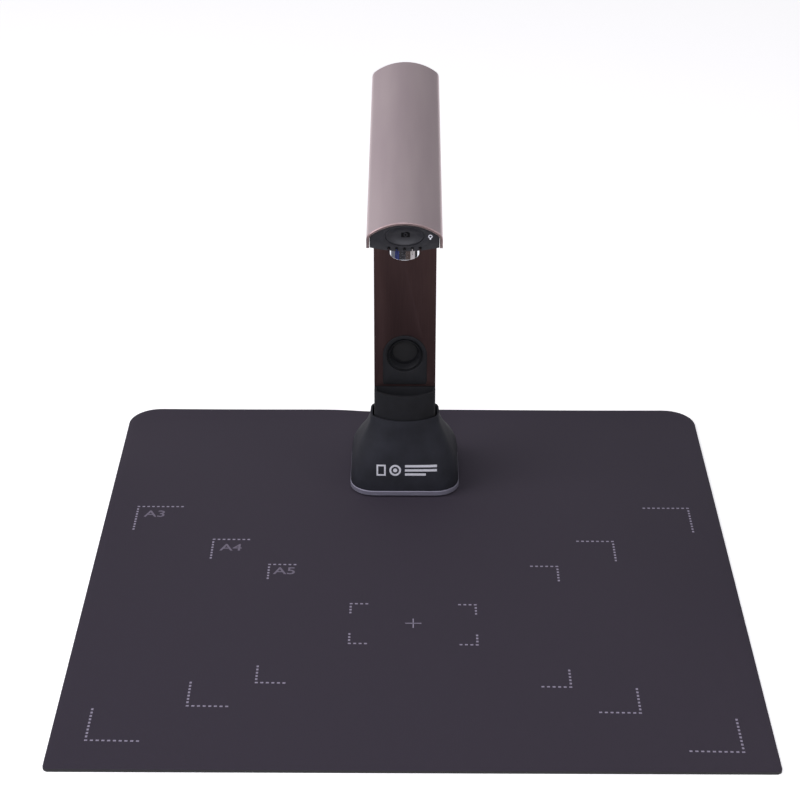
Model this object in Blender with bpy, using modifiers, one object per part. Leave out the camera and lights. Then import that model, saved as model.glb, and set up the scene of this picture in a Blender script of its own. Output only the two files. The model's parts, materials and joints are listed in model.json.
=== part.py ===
"""A folding document camera: a marked mat, and a stand whose camera head folds down on its arm.

Frame, in metres: +Z up, the user at -Y, the origin under the middle of the mat.
The head's pieces are drawn level in the frame of an empty on the hinge axis, which tilts them
to the open pose: there -Y runs along the head to its front end, and 0 is the axis.
"""

import math

import bmesh
import bpy
from mathutils import Vector

# --- Driving dimensions ---------------------------------------------------------------------------

GAP = 0.0003  # between two pieces that touch

MAT_WIDTH = 0.465
MAT_LENGTH = 0.481
MAT_THICKNESS = 0.0020
MAT_BACK_RADIUS = 0.025
MAT_FRONT_RADIUS = 0.004

STAND_X = -0.0058  # the stand's middle, a little left of the mat's
ARM_FACE_Y = 0.1245  # the arm's flat front

COLUMN_WIDTH = 0.0466  # arm and neck
CROWN_RADIUS = 0.0348  # of every arched side
COLUMN_SHOULDER = 0.0050
ARM_DEPTH = 0.0165
ARM_WALL = 0.0018
ARM_TOP_Z = 0.2957

NECK_FRONT_DEPTH = 0.0175  # the neck's arch in front of the arm's face
NECK_TOP_Z = 0.0841
NECK_WALL = 0.0026
NECK_DECK = 0.0140
BOWL_DEPTH = 0.0090
BOWL_RIM = 0.0020
BOWL_BACK = 0.0006  # in front of the arm's face
BOWL_CORNER = 0.0035

BASE_WIDTH = 0.0836
BASE_DEPTH = 0.0800
BASE_FORWARD = 0.0270  # from the arm's face to the base's front
BASE_CORNER = 0.0180
BASE_TOP_Z = 0.0638
BASE_WALL = 0.0022
BASE_LIP = 0.0014
NECK_GAP = 0.0014  # round the neck, in the base's opening
FLARE_POWER = 1.27  # how late the base's sides start to draw in

PLATE_HEIGHT = 0.0040
PLATE_OVERHANG = 0.0003
FOOT_RADIUS = 0.0060
FOOT_STAND = 0.0008  # how far a foot holds the plate off the mat
FOOT_RECESS = 0.0012
WEIGHT_HEIGHT = 0.0100
FLANGE_HEIGHT = 0.0040

BOARD_THICKNESS = 0.0012
USB_WIDTH = 0.0120
USB_HEIGHT = 0.0107
USB_LENGTH = 0.0165
USB_WALL = 0.0010
USB_MOUTH = 0.0100
USB_SETBACK = 0.0012
USB_TONGUE = (0.0052, 0.0100, 0.0024)
USB_TONGUE_DROP = 0.0023

HEAD_WIDTH = 0.0478
HEAD_HEIGHT = 0.0181
HEAD_SHOULDER = 0.0060
HEAD_WALL = 0.0018
HEAD_REAR = 0.0170
HEAD_SLOPE = math.radians(6.3)  # below level, in use
FOLD_GAP = 0.0040  # from the folded head's lower edges to the arm's face
HINGE_RISE = 0.0192  # of the axis, above the arm's top
AXIS_TO_EDGE = 0.0031  # from the axis up to the shell's lower edges

UNDERSIDE_BULGE = 0.0027
COVER_THICKNESS = 0.0016
END_INSET = 0.0012
END_THICKNESS = 0.0020
REAR_INSET = 0.0006
REAR_WALL = 0.0020
REAR_FLOOR = 0.0012

KEY_WIDTH = 0.0241
KEY_MARGIN = 0.0013  # below the key, to the shell's lower edges
KEY_CROWN_MARGIN = 0.0028  # above it, to the top of the shell
KEY_DISH = 0.0013
KEY_TRAVEL = 0.0006
NOTCH_PITCH = 0.0049
NOTCH_COUNT = 5
NOTCH_HOLE = 0.0006
NOTCH_SLIT = 0.0003
NOTCH_HEIGHT = 0.0019

LENS_MARGIN = 0.0015  # from the barrel to the end plate
BARREL_RADIUS = 0.0093
BARREL_DROP = 0.0116  # below the shell's lower edges
BARREL_NECK = 0.0070
BARREL_BORE = 0.0058
GLASS_RADIUS = 0.0068

POCKET_RISE = 0.0267  # of its middle, above the neck
POCKET_DROP = 0.0243  # from its middle to the plate's foot
POCKET_WALL = 0.0012
POCKET_PROUD = 0.0006
PAD_THICKNESS = 0.0004
PAD_CLEARANCE = 0.0004  # left in front of the folded barrel

PIN_RADIUS = 0.0025
PIN_CLEARANCE = 0.0001
KNUCKLE_RADIUS = 0.0055
KNUCKLE_CLEARANCE = 0.0008
MIDDLE_KNUCKLE = 0.0105  # half its length
WASHER_THICKNESS = 0.0010
BLOCK_RISE = 0.0018  # from the axis to the block's top
BLOCK_SPIGOT = 0.0150
SPIGOT_HOLE_X = 0.0130
BRACKET_RISE = 0.0062  # from the axis to the bracket's underside
BRACKET_THICKNESS = 0.0020

SCREW_RADIUS = 0.0013
SCREW_HEAD_RADIUS = 0.0026
SCREW_HEAD_HEIGHT = 0.0014
SCREW_GAP = 0.0003

# --- Sizes that follow ----------------------------------------------------------------------------

PLATE_BOTTOM = MAT_THICKNESS + GAP + FOOT_STAND
PLATE_TOP = PLATE_BOTTOM + PLATE_HEIGHT
BASE_BOTTOM = PLATE_TOP + GAP
BASE_FRONT_Y = ARM_FACE_Y - BASE_FORWARD
BASE_BACK_Y = BASE_FRONT_Y + BASE_DEPTH
BASE_MIDDLE_Y = (BASE_FRONT_Y + BASE_BACK_Y) / 2
WEIGHT_TOP = PLATE_TOP + GAP + WEIGHT_HEIGHT
FLANGE_BOTTOM = WEIGHT_TOP + GAP
FLANGE_TOP = FLANGE_BOTTOM + FLANGE_HEIGHT
ARM_BOTTOM_Z = NECK_TOP_Z + GAP
ARM_BACK_Y = ARM_FACE_Y + ARM_DEPTH
NECK_MIDDLE_Y = ARM_FACE_Y + (ARM_DEPTH - NECK_FRONT_DEPTH) / 2
NECK_DECK_Z = NECK_TOP_Z - NECK_DECK

# The head swings flat against the arm, so its lens sits as far from the axis as the pocket does.
HINGE_Y = ARM_FACE_Y - FOLD_GAP + AXIS_TO_EDGE
HINGE_Z = ARM_TOP_Z + HINGE_RISE
BLOCK_TOP_Z = HINGE_Z + BLOCK_RISE
POCKET_Z = NECK_TOP_Z + POCKET_RISE
POCKET_FACE_Y = ARM_FACE_Y - GAP - POCKET_PROUD
FOLDED_TIP_Y = ARM_FACE_Y - FOLD_GAP + BARREL_DROP
PAD_Y = FOLDED_TIP_Y + PAD_CLEARANCE
POCKET_DEPTH = PAD_Y + PAD_THICKNESS + GAP - POCKET_FACE_Y
POCKET_FLOOR = BARREL_RADIUS + 0.0011
POCKET_MOUTH = POCKET_FLOOR + 0.0033
POCKET_RING = POCKET_MOUTH + 0.0030

EDGE = AXIS_TO_EDGE  # the height of the shell's lower edges in the head's frame
LENS_SETBACK = END_INSET + END_THICKNESS + LENS_MARGIN + BARREL_RADIUS
HEAD_FRONT = HINGE_Z - POCKET_Z + LENS_SETBACK
LENS_Y = LENS_SETBACK - HEAD_FRONT
KEY_HEIGHT = HEAD_HEIGHT - KEY_MARGIN - KEY_CROWN_MARGIN
KEY_CENTRE = KEY_MARGIN + KEY_HEIGHT / 2  # above the shell's lower edges
END_FRONT_Y = END_INSET - HEAD_FRONT
END_BACK_Y = END_FRONT_Y + END_THICKNESS
COVER_FRONT_Y = END_BACK_Y + GAP
COVER_BACK_Y = -(KNUCKLE_RADIUS + KNUCKLE_CLEARANCE)
INNER_WIDTH = HEAD_WIDTH - 2 * HEAD_WALL - 2 * GAP
SIDE_KNUCKLE_X = MIDDLE_KNUCKLE + WASHER_THICKNESS + 2 * GAP
CAP_THICKNESS = 0.0008
SIDE_KNUCKLE = INNER_WIDTH / 2 - SIDE_KNUCKLE_X - CAP_THICKNESS - 0.0004

# --- Helpers --------------------------------------------------------------------------------------


def clear_scene():
    for obj in list(bpy.data.objects):
        bpy.data.objects.remove(obj)


def new_collection(name):
    collection = bpy.data.collections.new(name)
    bpy.context.scene.collection.children.link(collection)
    return collection


def finish(name, colour, roughness, metallic=0.0, alpha=1.0):
    material = bpy.data.materials.new(name)
    material.use_nodes = True
    shader = material.node_tree.nodes["Principled BSDF"]
    shader.inputs["Base Color"].default_value = (*colour, 1.0)
    shader.inputs["Roughness"].default_value = roughness
    shader.inputs["Metallic"].default_value = metallic
    shader.inputs["Alpha"].default_value = alpha
    return material


def place(name, mesh, material, at=(0, 0, 0), turn=(0, 0, 0), frame=None):
    """A new object in the parts' collection, at a place and a turn in its frame."""
    obj = bpy.data.objects.new(name, mesh)
    PARTS.objects.link(obj)
    mesh.materials.append(material)
    obj.location = at
    obj.rotation_euler = turn
    obj.parent = frame
    return obj


def box(name, size, centre, material, frame=None):
    mesh = bpy.data.meshes.new(name)
    solid = bmesh.new()
    bmesh.ops.create_cube(solid, size=1.0)
    bmesh.ops.scale(solid, vec=Vector(size), verts=solid.verts)
    solid.to_mesh(mesh)
    solid.free()
    return place(name, mesh, material, at=centre, frame=frame)


TURNS = {"X": (0, math.pi / 2, 0), "Y": (math.pi / 2, 0, 0), "Z": (0, 0, 0)}


def rod(name, radius, length, centre, material, axis="Z", frame=None, segments=32, end_radius=None):
    """A cylinder along an axis, or a cone where its far end has a radius of its own."""
    mesh = bpy.data.meshes.new(name)
    solid = bmesh.new()
    bmesh.ops.create_cone(
        solid,
        cap_ends=True,
        segments=segments,
        radius1=radius,
        radius2=radius if end_radius is None else end_radius,
        depth=length,
    )
    solid.to_mesh(mesh)
    solid.free()
    mesh.shade_smooth()
    mesh.set_sharp_from_angle(angle=math.radians(35))
    return place(name, mesh, material, at=centre, turn=TURNS[axis], frame=frame)


def turned(name, profile, at, material, turn=(0, 0, 0), frame=None, steps=48):
    """A turned piece: its outline of (radius, height) pairs runs from the top down its outer side."""
    mesh = bpy.data.meshes.new(name)
    points = [(radius, 0, height) for radius, height in profile]
    mesh.from_pydata(points, [(i, i + 1) for i in range(len(points) - 1)], [])
    obj = place(name, mesh, material, at=at, turn=turn, frame=frame)
    screw = obj.modifiers.new("turn", "SCREW")
    screw.steps = screw.render_steps = steps
    screw.use_merge_vertices = True
    screw.merge_threshold = 0.00001
    return obj


def slab(name, outline, depth, material, at=(0, 0, 0), turn=(0, 0, 0), frame=None, holes=()):
    """A flat outline given a thickness, which lies evenly on both sides of its place."""
    curve = bpy.data.curves.new(name + "_outline", "CURVE")
    curve.dimensions = "2D"
    curve.fill_mode = "BOTH"
    curve.extrude = depth / 2
    for points in (outline, *holes):
        spline = curve.splines.new("POLY")
        spline.points.add(len(points) - 1)
        for point, (x, y) in zip(spline.points, points):
            point.co = (x, y, 0, 1)
        spline.use_cyclic_u = True
    guide = bpy.data.objects.new(name + "_outline", curve)
    bpy.context.scene.collection.objects.link(guide)
    graph = bpy.context.evaluated_depsgraph_get()
    mesh = bpy.data.meshes.new_from_object(guide.evaluated_get(graph))
    bpy.data.objects.remove(guide)
    solid = bmesh.new()
    solid.from_mesh(mesh)
    bmesh.ops.remove_doubles(solid, verts=solid.verts, dist=1e-6)
    bmesh.ops.recalc_face_normals(solid, faces=solid.faces)
    solid.to_mesh(mesh)
    solid.free()
    mesh.name = name
    mesh.shade_smooth()
    mesh.set_sharp_from_angle(angle=math.radians(30))
    return place(name, mesh, material, at=at, turn=turn, frame=frame)


def tool(obj):
    """Turns a solid into a hidden cutter or a piece to be joined."""
    PARTS.objects.unlink(obj)
    TOOLS.objects.link(obj)
    obj.hide_render = True
    obj.display_type = "WIRE"
    return obj


def combine(obj, operation, *others):
    for other in others:
        step = obj.modifiers.new(operation.lower(), "BOOLEAN")
        step.operation = operation
        step.object = tool(other)
    return obj


def cut(obj, *cutters):
    return combine(obj, "DIFFERENCE", *cutters)


def join(obj, *pieces):
    return combine(obj, "UNION", *pieces)


def soften(obj, width, segments=2, angle=40):
    bevel = obj.modifiers.new("soften", "BEVEL")
    bevel.width = width
    bevel.segments = segments
    bevel.limit_method = "ANGLE"
    bevel.angle_limit = math.radians(angle)
    return obj


def arc(centre, radius, start, end, steps):
    """Points on an arc, from one angle to another in degrees."""
    angles = (math.radians(start + (end - start) * i / steps) for i in range(steps + 1))
    return [(centre[0] + radius * math.cos(a), centre[1] + radius * math.sin(a)) for a in angles]


def rounded_rectangle(width, depth, radii, steps=8):
    """Counter-clockwise from the front right; radii are front right, back right, back left, front left."""
    signs = ((1, -1), (1, 1), (-1, 1), (-1, -1))
    points = []
    for turn, ((x, y), radius) in enumerate(zip(signs, radii)):
        centre = (x * (width / 2 - radius), y * (depth / 2 - radius))
        points += arc(centre, radius, 90 * turn - 90, 90 * turn, steps)
    return points


def arch(width, height, crown, shoulder, inset=0.0, steps=14):
    """The right-to-left top of an arched section: a side, its shoulder, the crown, and the same again."""
    half = width / 2 - inset
    radius = crown - inset
    corner = shoulder - inset
    crown_y = height - crown
    corner_x = half - corner
    corner_y = crown_y + math.sqrt((radius - corner) ** 2 - corner_x**2)
    meet = math.degrees(math.atan2(corner_y - crown_y, corner_x))
    right = arc((corner_x, corner_y), corner, 0, meet, 5)
    top = arc((0, crown_y), radius, meet, 180 - meet, 2 * steps)[1:-1]
    left = arc((-corner_x, corner_y), corner, 180 - meet, 180, 5)
    return right + top + left


def column_outline(grow=0.0):
    """The neck's outline, an arch to the front and one to the back, in x and y about the stand's middle."""
    back = arch(COLUMN_WIDTH, ARM_DEPTH, CROWN_RADIUS, COLUMN_SHOULDER, -grow)
    front = arch(COLUMN_WIDTH, NECK_FRONT_DEPTH, CROWN_RADIUS, COLUMN_SHOULDER, -grow)
    return [(x, ARM_FACE_Y + y) for x, y in back] + [(-x, ARM_FACE_Y - y) for x, y in front]


def arm_outline(inset=0.0):
    """The arm's outline: flat in front, arched behind."""
    half = COLUMN_WIDTH / 2 - inset
    face = ARM_FACE_Y + inset
    crown = arch(COLUMN_WIDTH, ARM_DEPTH, CROWN_RADIUS, COLUMN_SHOULDER, inset)
    return [(-half, face), (half, face)] + [(x, ARM_FACE_Y + y) for x, y in crown]


def base_outline(grow=0.0):
    """The base's footprint."""
    outline = rounded_rectangle(
        BASE_WIDTH + 2 * grow, BASE_DEPTH + 2 * grow, [BASE_CORNER + grow] * 4, steps=7
    )
    return [(x, BASE_MIDDLE_Y + y) for x, y in outline]


def spread(outline, middle, count):
    """The outline again as points in even directions from its middle."""
    found = []
    for i in range(count):
        angle = 2 * math.pi * i / count
        way = Vector((math.cos(angle), math.sin(angle)))
        for start, end in zip(outline, outline[1:] + outline[:1]):
            first = Vector(start) - middle
            side = Vector(end) - Vector(start)
            turn = way.cross(side)
            if abs(turn) < 1e-12:
                continue
            reach = first.cross(side) / turn
            share = first.cross(way) / turn
            if reach > 0 and 0 <= share < 1:
                found.append(middle + way * reach)
                break
    return found


def inward(ring, distance):
    """A ring of points moved in along its own normals."""
    moved = []
    for i, point in enumerate(ring):
        along = (ring[(i + 1) % len(ring)] - ring[i - 1]).normalized()
        moved.append(point + Vector((-along.y, along.x)) * distance)
    return moved


def ring_loft(name, rings, material):
    """A closed wall through a loop of level rings, each a height and its points."""
    mesh = bpy.data.meshes.new(name)
    solid = bmesh.new()
    loops = [[solid.verts.new((p.x, p.y, height)) for p in points] for height, points in rings]
    for lower, upper in zip(loops, loops[1:] + loops[:1]):
        for i, corner in enumerate(lower):
            after = (i + 1) % len(lower)
            solid.faces.new((corner, lower[after], upper[after], upper[i]))
    bmesh.ops.recalc_face_normals(solid, faces=solid.faces)
    solid.to_mesh(mesh)
    solid.free()
    mesh.shade_smooth()
    mesh.set_sharp_from_angle(angle=math.radians(50))
    return place(name, mesh, material, at=(STAND_X, 0, 0))


# --- The mat --------------------------------------------------------------------------------------


def build_mat():
    radii = (MAT_FRONT_RADIUS, MAT_BACK_RADIUS, MAT_BACK_RADIUS, MAT_FRONT_RADIUS)
    outline = rounded_rectangle(MAT_WIDTH, MAT_LENGTH, radii, steps=8)
    slab("mat", outline, MAT_THICKNESS, MAT_CLOTH, at=(0, 0, MAT_THICKNESS / 2))


# --- The base -------------------------------------------------------------------------------------

FOOT_X = BASE_WIDTH / 2 - 0.0118
FOOT_Y = BASE_DEPTH / 2 - 0.0200
BOSS_X = BASE_WIDTH / 2 - 0.0083
BOSS_Y = BASE_DEPTH / 2 - 0.0095
BOSS_RADIUS = 0.0036
BOSS_HEIGHT = 0.0100
BOSS_HOLE_DEPTH = 0.0070
BASE_SCREW_LENGTH = 0.0095
RING_POINTS = 52
WALL_RINGS = 9
CORNERS = ((-1, -1), (1, -1), (-1, 1), (1, 1))
SIDES = ((-1, "left"), (1, "right"))


def base_rings():
    """The housing's outer rings, wide at the foot and drawn in to the neck, and the inner ones."""
    foot = spread(base_outline(), Vector((0, BASE_MIDDLE_Y)), RING_POINTS)
    top = spread(column_outline(NECK_GAP + BASE_LIP), Vector((0, NECK_MIDDLE_Y)), RING_POINTS)
    outer = []
    inner = []
    for i in range(WALL_RINGS + 1):
        rise = i / WALL_RINGS
        late = rise**FLARE_POWER
        share = late * late * (3 - 2 * late)
        height = BASE_BOTTOM + (BASE_TOP_Z - BASE_BOTTOM) * rise
        ring = [a.lerp(b, share) for a, b in zip(foot, top)]
        wall = BASE_WALL + (BASE_LIP - BASE_WALL) * share
        outer.append((height, ring))
        inner.append((height, inward(ring, wall)))
    return outer, inner


def build_base_housing():
    outer, inner = base_rings()
    housing = ring_loft("base_housing", outer + inner[::-1], SOFT_TOUCH)
    bosses = [
        rod("boss", BOSS_RADIUS, BOSS_HEIGHT, boss_place(corner), SOFT_TOUCH, segments=20)
        for corner in CORNERS
    ]
    join(housing, *bosses)
    for corner in CORNERS:
        x, y, _ = boss_place(corner)
        cut(housing, screw_bore((x, y, BASE_BOTTOM), 2 * BOSS_HOLE_DEPTH, SOFT_TOUCH))
    port_size = (USB_WIDTH + 2 * GAP, 6 * BASE_WALL, USB_HEIGHT + 2 * GAP)
    port_at = (STAND_X, BASE_BACK_Y - BASE_WALL, USB_Z)
    cut(housing, box("port", port_size, port_at, SOFT_TOUCH))


def boss_place(corner):
    x, y = corner
    return (
        STAND_X + x * BOSS_X,
        BASE_MIDDLE_Y + y * BOSS_Y,
        BASE_BOTTOM + BOSS_HEIGHT / 2,
    )


BOARD_Z = PLATE_TOP + 0.0030
USB_Z = BOARD_Z + BOARD_THICKNESS + GAP + USB_HEIGHT / 2
BOARD_WIDTH = 0.0340
BOARD_DEPTH = 0.0250
BOARD_BACK_Y = BASE_BACK_Y - BASE_WALL - 0.0010
NECK_BOLT_X = 0.0150
NECK_SCREW_LENGTH = 0.0175
WEIGHT_MARGIN = 0.0010  # between the weight and the bosses
WEIGHT_FRONT = 0.0060  # in from the base's front
WEIGHT_BACK = 0.0020  # before the board


def build_base_plate():
    plate = slab(
        "base_plate",
        base_outline(PLATE_OVERHANG),
        PLATE_HEIGHT,
        SATIN_ALUMINIUM,
        at=(STAND_X, 0, PLATE_BOTTOM + PLATE_HEIGHT / 2),
    )
    soften(plate, 0.0005, segments=1)
    for x, y in CORNERS:
        recess = rod(
            "foot_recess",
            FOOT_RADIUS + GAP,
            2 * FOOT_RECESS,
            (STAND_X + x * FOOT_X, BASE_MIDDLE_Y + y * FOOT_Y, PLATE_BOTTOM),
            SATIN_ALUMINIUM,
            segments=24,
        )
        cut(plate, recess)
        cut(plate, *screw_hole(boss_place((x, y)), PLATE_BOTTOM, PLATE_HEIGHT))
    for side, _ in SIDES:
        cut(plate, *screw_hole(neck_bolt_place(side), PLATE_BOTTOM, PLATE_HEIGHT))


def screw_bore(middle, length, material, axis="Z", frame=None):
    """The cutter of a clearance hole for a screw."""
    return rod("hole", SCREW_RADIUS + SCREW_GAP, length, middle, material, axis, frame, segments=16)


def screw_hole(place_at, bottom, height):
    """A through hole and the counterbore for a screw head, from below."""
    x, y, _ = place_at
    through = screw_bore((x, y, bottom + height / 2), 2 * height, SATIN_ALUMINIUM)
    sink = rod(
        "sink",
        SCREW_HEAD_RADIUS + SCREW_GAP,
        2 * (SCREW_HEAD_HEIGHT + 2 * GAP),
        (x, y, bottom),
        SATIN_ALUMINIUM,
        segments=20,
    )
    return through, sink


def screw(name, x, y, bottom, length, turn=(0, 0, 0), frame=None):
    """A pan-head screw standing on its head: the head's underside faces up along the shank."""
    head = SCREW_HEAD_RADIUS
    profile = [
        (0.0, length),
        (SCREW_RADIUS, length),
        (SCREW_RADIUS, SCREW_HEAD_HEIGHT),
        (head, SCREW_HEAD_HEIGHT),
        (head, SCREW_HEAD_HEIGHT * 0.5),
        (head * 0.75, 0.0),
        (0.0, 0.0),
    ]
    return turned(name, profile, (x, y, bottom), ZINC_STEEL, turn=turn, frame=frame, steps=12)


def build_feet_and_screws():
    for number, (x, y) in enumerate(CORNERS, start=1):
        profile = [
            (0.0, FOOT_STAND + FOOT_RECESS - GAP),
            (FOOT_RADIUS, FOOT_STAND + FOOT_RECESS - GAP),
            (FOOT_RADIUS, 0.0004),
            (FOOT_RADIUS - 0.0004, 0.0),
            (0.0, 0.0),
        ]
        at = (STAND_X + x * FOOT_X, BASE_MIDDLE_Y + y * FOOT_Y, MAT_THICKNESS + GAP)
        turned(f"foot_{number}", profile, at, RUBBER, steps=20)
        boss = boss_place((x, y))
        screw(f"base_screw_{number}", boss[0], boss[1], PLATE_BOTTOM + GAP, BASE_SCREW_LENGTH)


def neck_bolt_place(side):
    return (STAND_X + side * NECK_BOLT_X, NECK_MIDDLE_Y, 0.0)


def build_base_inside():
    """The steel weight, and behind it the small board with the cable socket."""
    weight_width = 2 * (BOSS_X - BOSS_RADIUS - WEIGHT_MARGIN)
    front = BASE_FRONT_Y + WEIGHT_FRONT
    back = BOARD_BACK_Y - BOARD_DEPTH - WEIGHT_BACK
    weight = box(
        "base_weight",
        (weight_width, back - front, WEIGHT_HEIGHT),
        (STAND_X, (front + back) / 2, PLATE_TOP + GAP + WEIGHT_HEIGHT / 2),
        ZINC_STEEL,
    )
    soften(weight, 0.0008, segments=1)
    for side, word in SIDES:
        x, y, _ = neck_bolt_place(side)
        middle = (x, y, PLATE_TOP + WEIGHT_HEIGHT / 2)
        cut(weight, screw_bore(middle, 3 * WEIGHT_HEIGHT, ZINC_STEEL))
        screw(f"neck_screw_{word}", x, y, PLATE_BOTTOM + GAP, NECK_SCREW_LENGTH)
    box(
        "base_board",
        (BOARD_WIDTH, BOARD_DEPTH, BOARD_THICKNESS),
        (STAND_X, BOARD_BACK_Y - BOARD_DEPTH / 2, BOARD_Z + BOARD_THICKNESS / 2),
        BOARD_GREEN,
    )
    build_usb_socket()


def build_usb_socket():
    """A square cable socket: a steel shell with its tongue, open to the back."""
    back = BASE_BACK_Y - USB_SETBACK
    socket_size = (USB_WIDTH, USB_LENGTH, USB_HEIGHT)
    socket = box("usb_socket", socket_size, (STAND_X, back - USB_LENGTH / 2, USB_Z), ZINC_STEEL)
    mouth_size = (USB_WIDTH - 2 * USB_WALL, 2 * USB_MOUTH, USB_HEIGHT - 2 * USB_WALL)
    cut(socket, box("socket_mouth", mouth_size, (STAND_X, back, USB_Z), ZINC_STEEL))
    tongue_at = (STAND_X, back - USB_SETBACK - USB_MOUTH / 2, USB_Z - USB_TONGUE_DROP)
    join(socket, box("socket_tongue", USB_TONGUE, tongue_at, ZINC_STEEL))


# --- The neck -------------------------------------------------------------------------------------

ANCHOR_HEIGHT = 0.0080
ARM_BOLT_X = 0.0140
ARM_BOLT_Y = 0.0058  # behind the arm's face
ARM_BOLT_LENGTH = 0.0220
CABLE_RADIUS = 0.0018
CABLE_BORE = 0.0024
CABLE_Y = ARM_BACK_Y - ARM_WALL - CABLE_RADIUS - 0.0008
CABLE_WINDOW = (0.0160, 0.0120, 0.0280)
CABLE_WINDOW_RISE = 0.0170


def build_neck():
    height = NECK_TOP_Z - FLANGE_BOTTOM
    middle = (STAND_X, 0, FLANGE_BOTTOM + height / 2)
    neck = slab("neck", column_outline(), height, SOFT_TOUCH, at=middle)
    hollow = slab(
        "neck_hollow",
        column_outline(-NECK_WALL),
        NECK_DECK_Z - FLANGE_TOP,
        SOFT_TOUCH,
        at=(STAND_X, 0, (NECK_DECK_Z + FLANGE_TOP) / 2),
    )
    cut(neck, hollow)
    cut(neck, bowl_cutter())
    window_at = (STAND_X, ARM_BACK_Y, FLANGE_TOP + CABLE_WINDOW_RISE)
    cut(neck, box("cable_window", CABLE_WINDOW, window_at, SOFT_TOUCH))
    for side, _ in SIDES:
        arm_bolt = (STAND_X + side * ARM_BOLT_X, ARM_FACE_Y + ARM_BOLT_Y, NECK_TOP_Z)
        cut(neck, screw_bore(arm_bolt, 3 * NECK_DECK, SOFT_TOUCH))
        x, y, _ = neck_bolt_place(side)
        cut(neck, screw_bore((x, y, FLANGE_BOTTOM), 5 * FLANGE_HEIGHT, SOFT_TOUCH))
    cut(neck, cable_bore(NECK_TOP_Z, 3 * NECK_DECK, SOFT_TOUCH))


def cable_bore(z, length, material):
    """The cutter of the cable's hole, up the arm."""
    return rod("cable_bore", CABLE_BORE, length, (STAND_X, CABLE_Y, z), material, segments=16)


def bowl_cutter():
    """The finger bowl in front of the arm's foot: the neck's front arch, less its rim."""
    front = arch(COLUMN_WIDTH, NECK_FRONT_DEPTH, CROWN_RADIUS, COLUMN_SHOULDER, BOWL_RIM)
    back = ARM_FACE_Y - BOWL_BACK
    half = COLUMN_WIDTH / 2 - BOWL_RIM
    curve = [(-x, ARM_FACE_Y - y) for x, y in front if y > BOWL_BACK]
    outline = [(half, back), (-half, back)] + curve
    bowl = slab("bowl", outline, 2 * BOWL_DEPTH, SOFT_TOUCH, at=(STAND_X, 0, NECK_TOP_Z))
    return soften(bowl, BOWL_CORNER, segments=3, angle=60)


def build_anchor():
    """The threaded block in the arm's foot, and the two bolts that pull it down on the neck."""
    outline = arm_outline(ARM_WALL + GAP)
    bottom = ARM_BOTTOM_Z + GAP
    anchor = slab(
        "arm_anchor",
        outline,
        ANCHOR_HEIGHT,
        ZINC_STEEL,
        at=(STAND_X, 0, bottom + ANCHOR_HEIGHT / 2),
    )
    middle = bottom + ANCHOR_HEIGHT / 2
    for side, word in SIDES:
        x = STAND_X + side * ARM_BOLT_X
        y = ARM_FACE_Y + ARM_BOLT_Y
        cut(anchor, screw_bore((x, y, middle), 3 * ANCHOR_HEIGHT, ZINC_STEEL))
        head_bottom = NECK_DECK_Z - SCREW_HEAD_HEIGHT - GAP
        screw(f"arm_bolt_{word}", x, y, head_bottom, ARM_BOLT_LENGTH)
    cut(anchor, cable_bore(middle, 3 * ANCHOR_HEIGHT, ZINC_STEEL))


# --- The arm --------------------------------------------------------------------------------------


def build_arm():
    length = ARM_TOP_Z - ARM_BOTTOM_Z
    arm = slab(
        "arm_tube",
        arm_outline(),
        length,
        BROWN_ANODISED,
        at=(STAND_X, 0, (ARM_TOP_Z + ARM_BOTTOM_Z) / 2),
        holes=(arm_outline(ARM_WALL),),
    )
    hole = rod(
        "pocket_hole",
        POCKET_MOUTH + POCKET_WALL + GAP,
        4 * ARM_WALL,
        (STAND_X, ARM_FACE_Y, POCKET_Z),
        BROWN_ANODISED,
        axis="Y",
        segments=48,
    )
    cut(arm, hole)


def build_pocket():
    """The plate on the arm's face whose cup takes the lens barrel when the head is folded."""
    foot = [(-POCKET_RING, -POCKET_DROP), (POCKET_RING, -POCKET_DROP)]
    outline = arc((0, 0), POCKET_RING, 0, 180, 28) + foot
    plate = slab(
        "lens_pocket",
        outline,
        POCKET_PROUD,
        SOFT_TOUCH,
        at=(STAND_X, POCKET_FACE_Y + POCKET_PROUD / 2, POCKET_Z),
        turn=TURNS["Y"],
    )
    cup_back = POCKET_DEPTH + POCKET_WALL
    cup_profile = [
        (0.0, -POCKET_PROUD / 4),
        (POCKET_MOUTH + POCKET_WALL, -POCKET_PROUD / 4),
        (POCKET_FLOOR + POCKET_WALL, -cup_back),
        (0.0, -cup_back),
    ]
    hollow_profile = [
        (0.0, 0.0020),
        (POCKET_MOUTH, 0.0020),
        (POCKET_MOUTH, -0.0005),
        (POCKET_FLOOR + 0.0006, -POCKET_DEPTH + 0.0015),
        (POCKET_FLOOR, -POCKET_DEPTH),
        (0.0, -POCKET_DEPTH),
    ]
    at = (STAND_X, POCKET_FACE_Y, POCKET_Z)
    join(plate, turned("cup", cup_profile, at, SOFT_TOUCH, turn=TURNS["Y"]))
    cut(plate, turned("cup_hollow", hollow_profile, at, SOFT_TOUCH, turn=TURNS["Y"]))
    pad_radius = POCKET_FLOOR - 0.0012
    pad_profile = [(0.0, 0.0), (pad_radius, 0.0), (pad_radius, -PAD_THICKNESS), (0.0, -PAD_THICKNESS)]
    at = (STAND_X, PAD_Y, POCKET_Z)
    turned("pocket_pad", pad_profile, at, RUBBER, turn=TURNS["Y"], steps=32)


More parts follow.
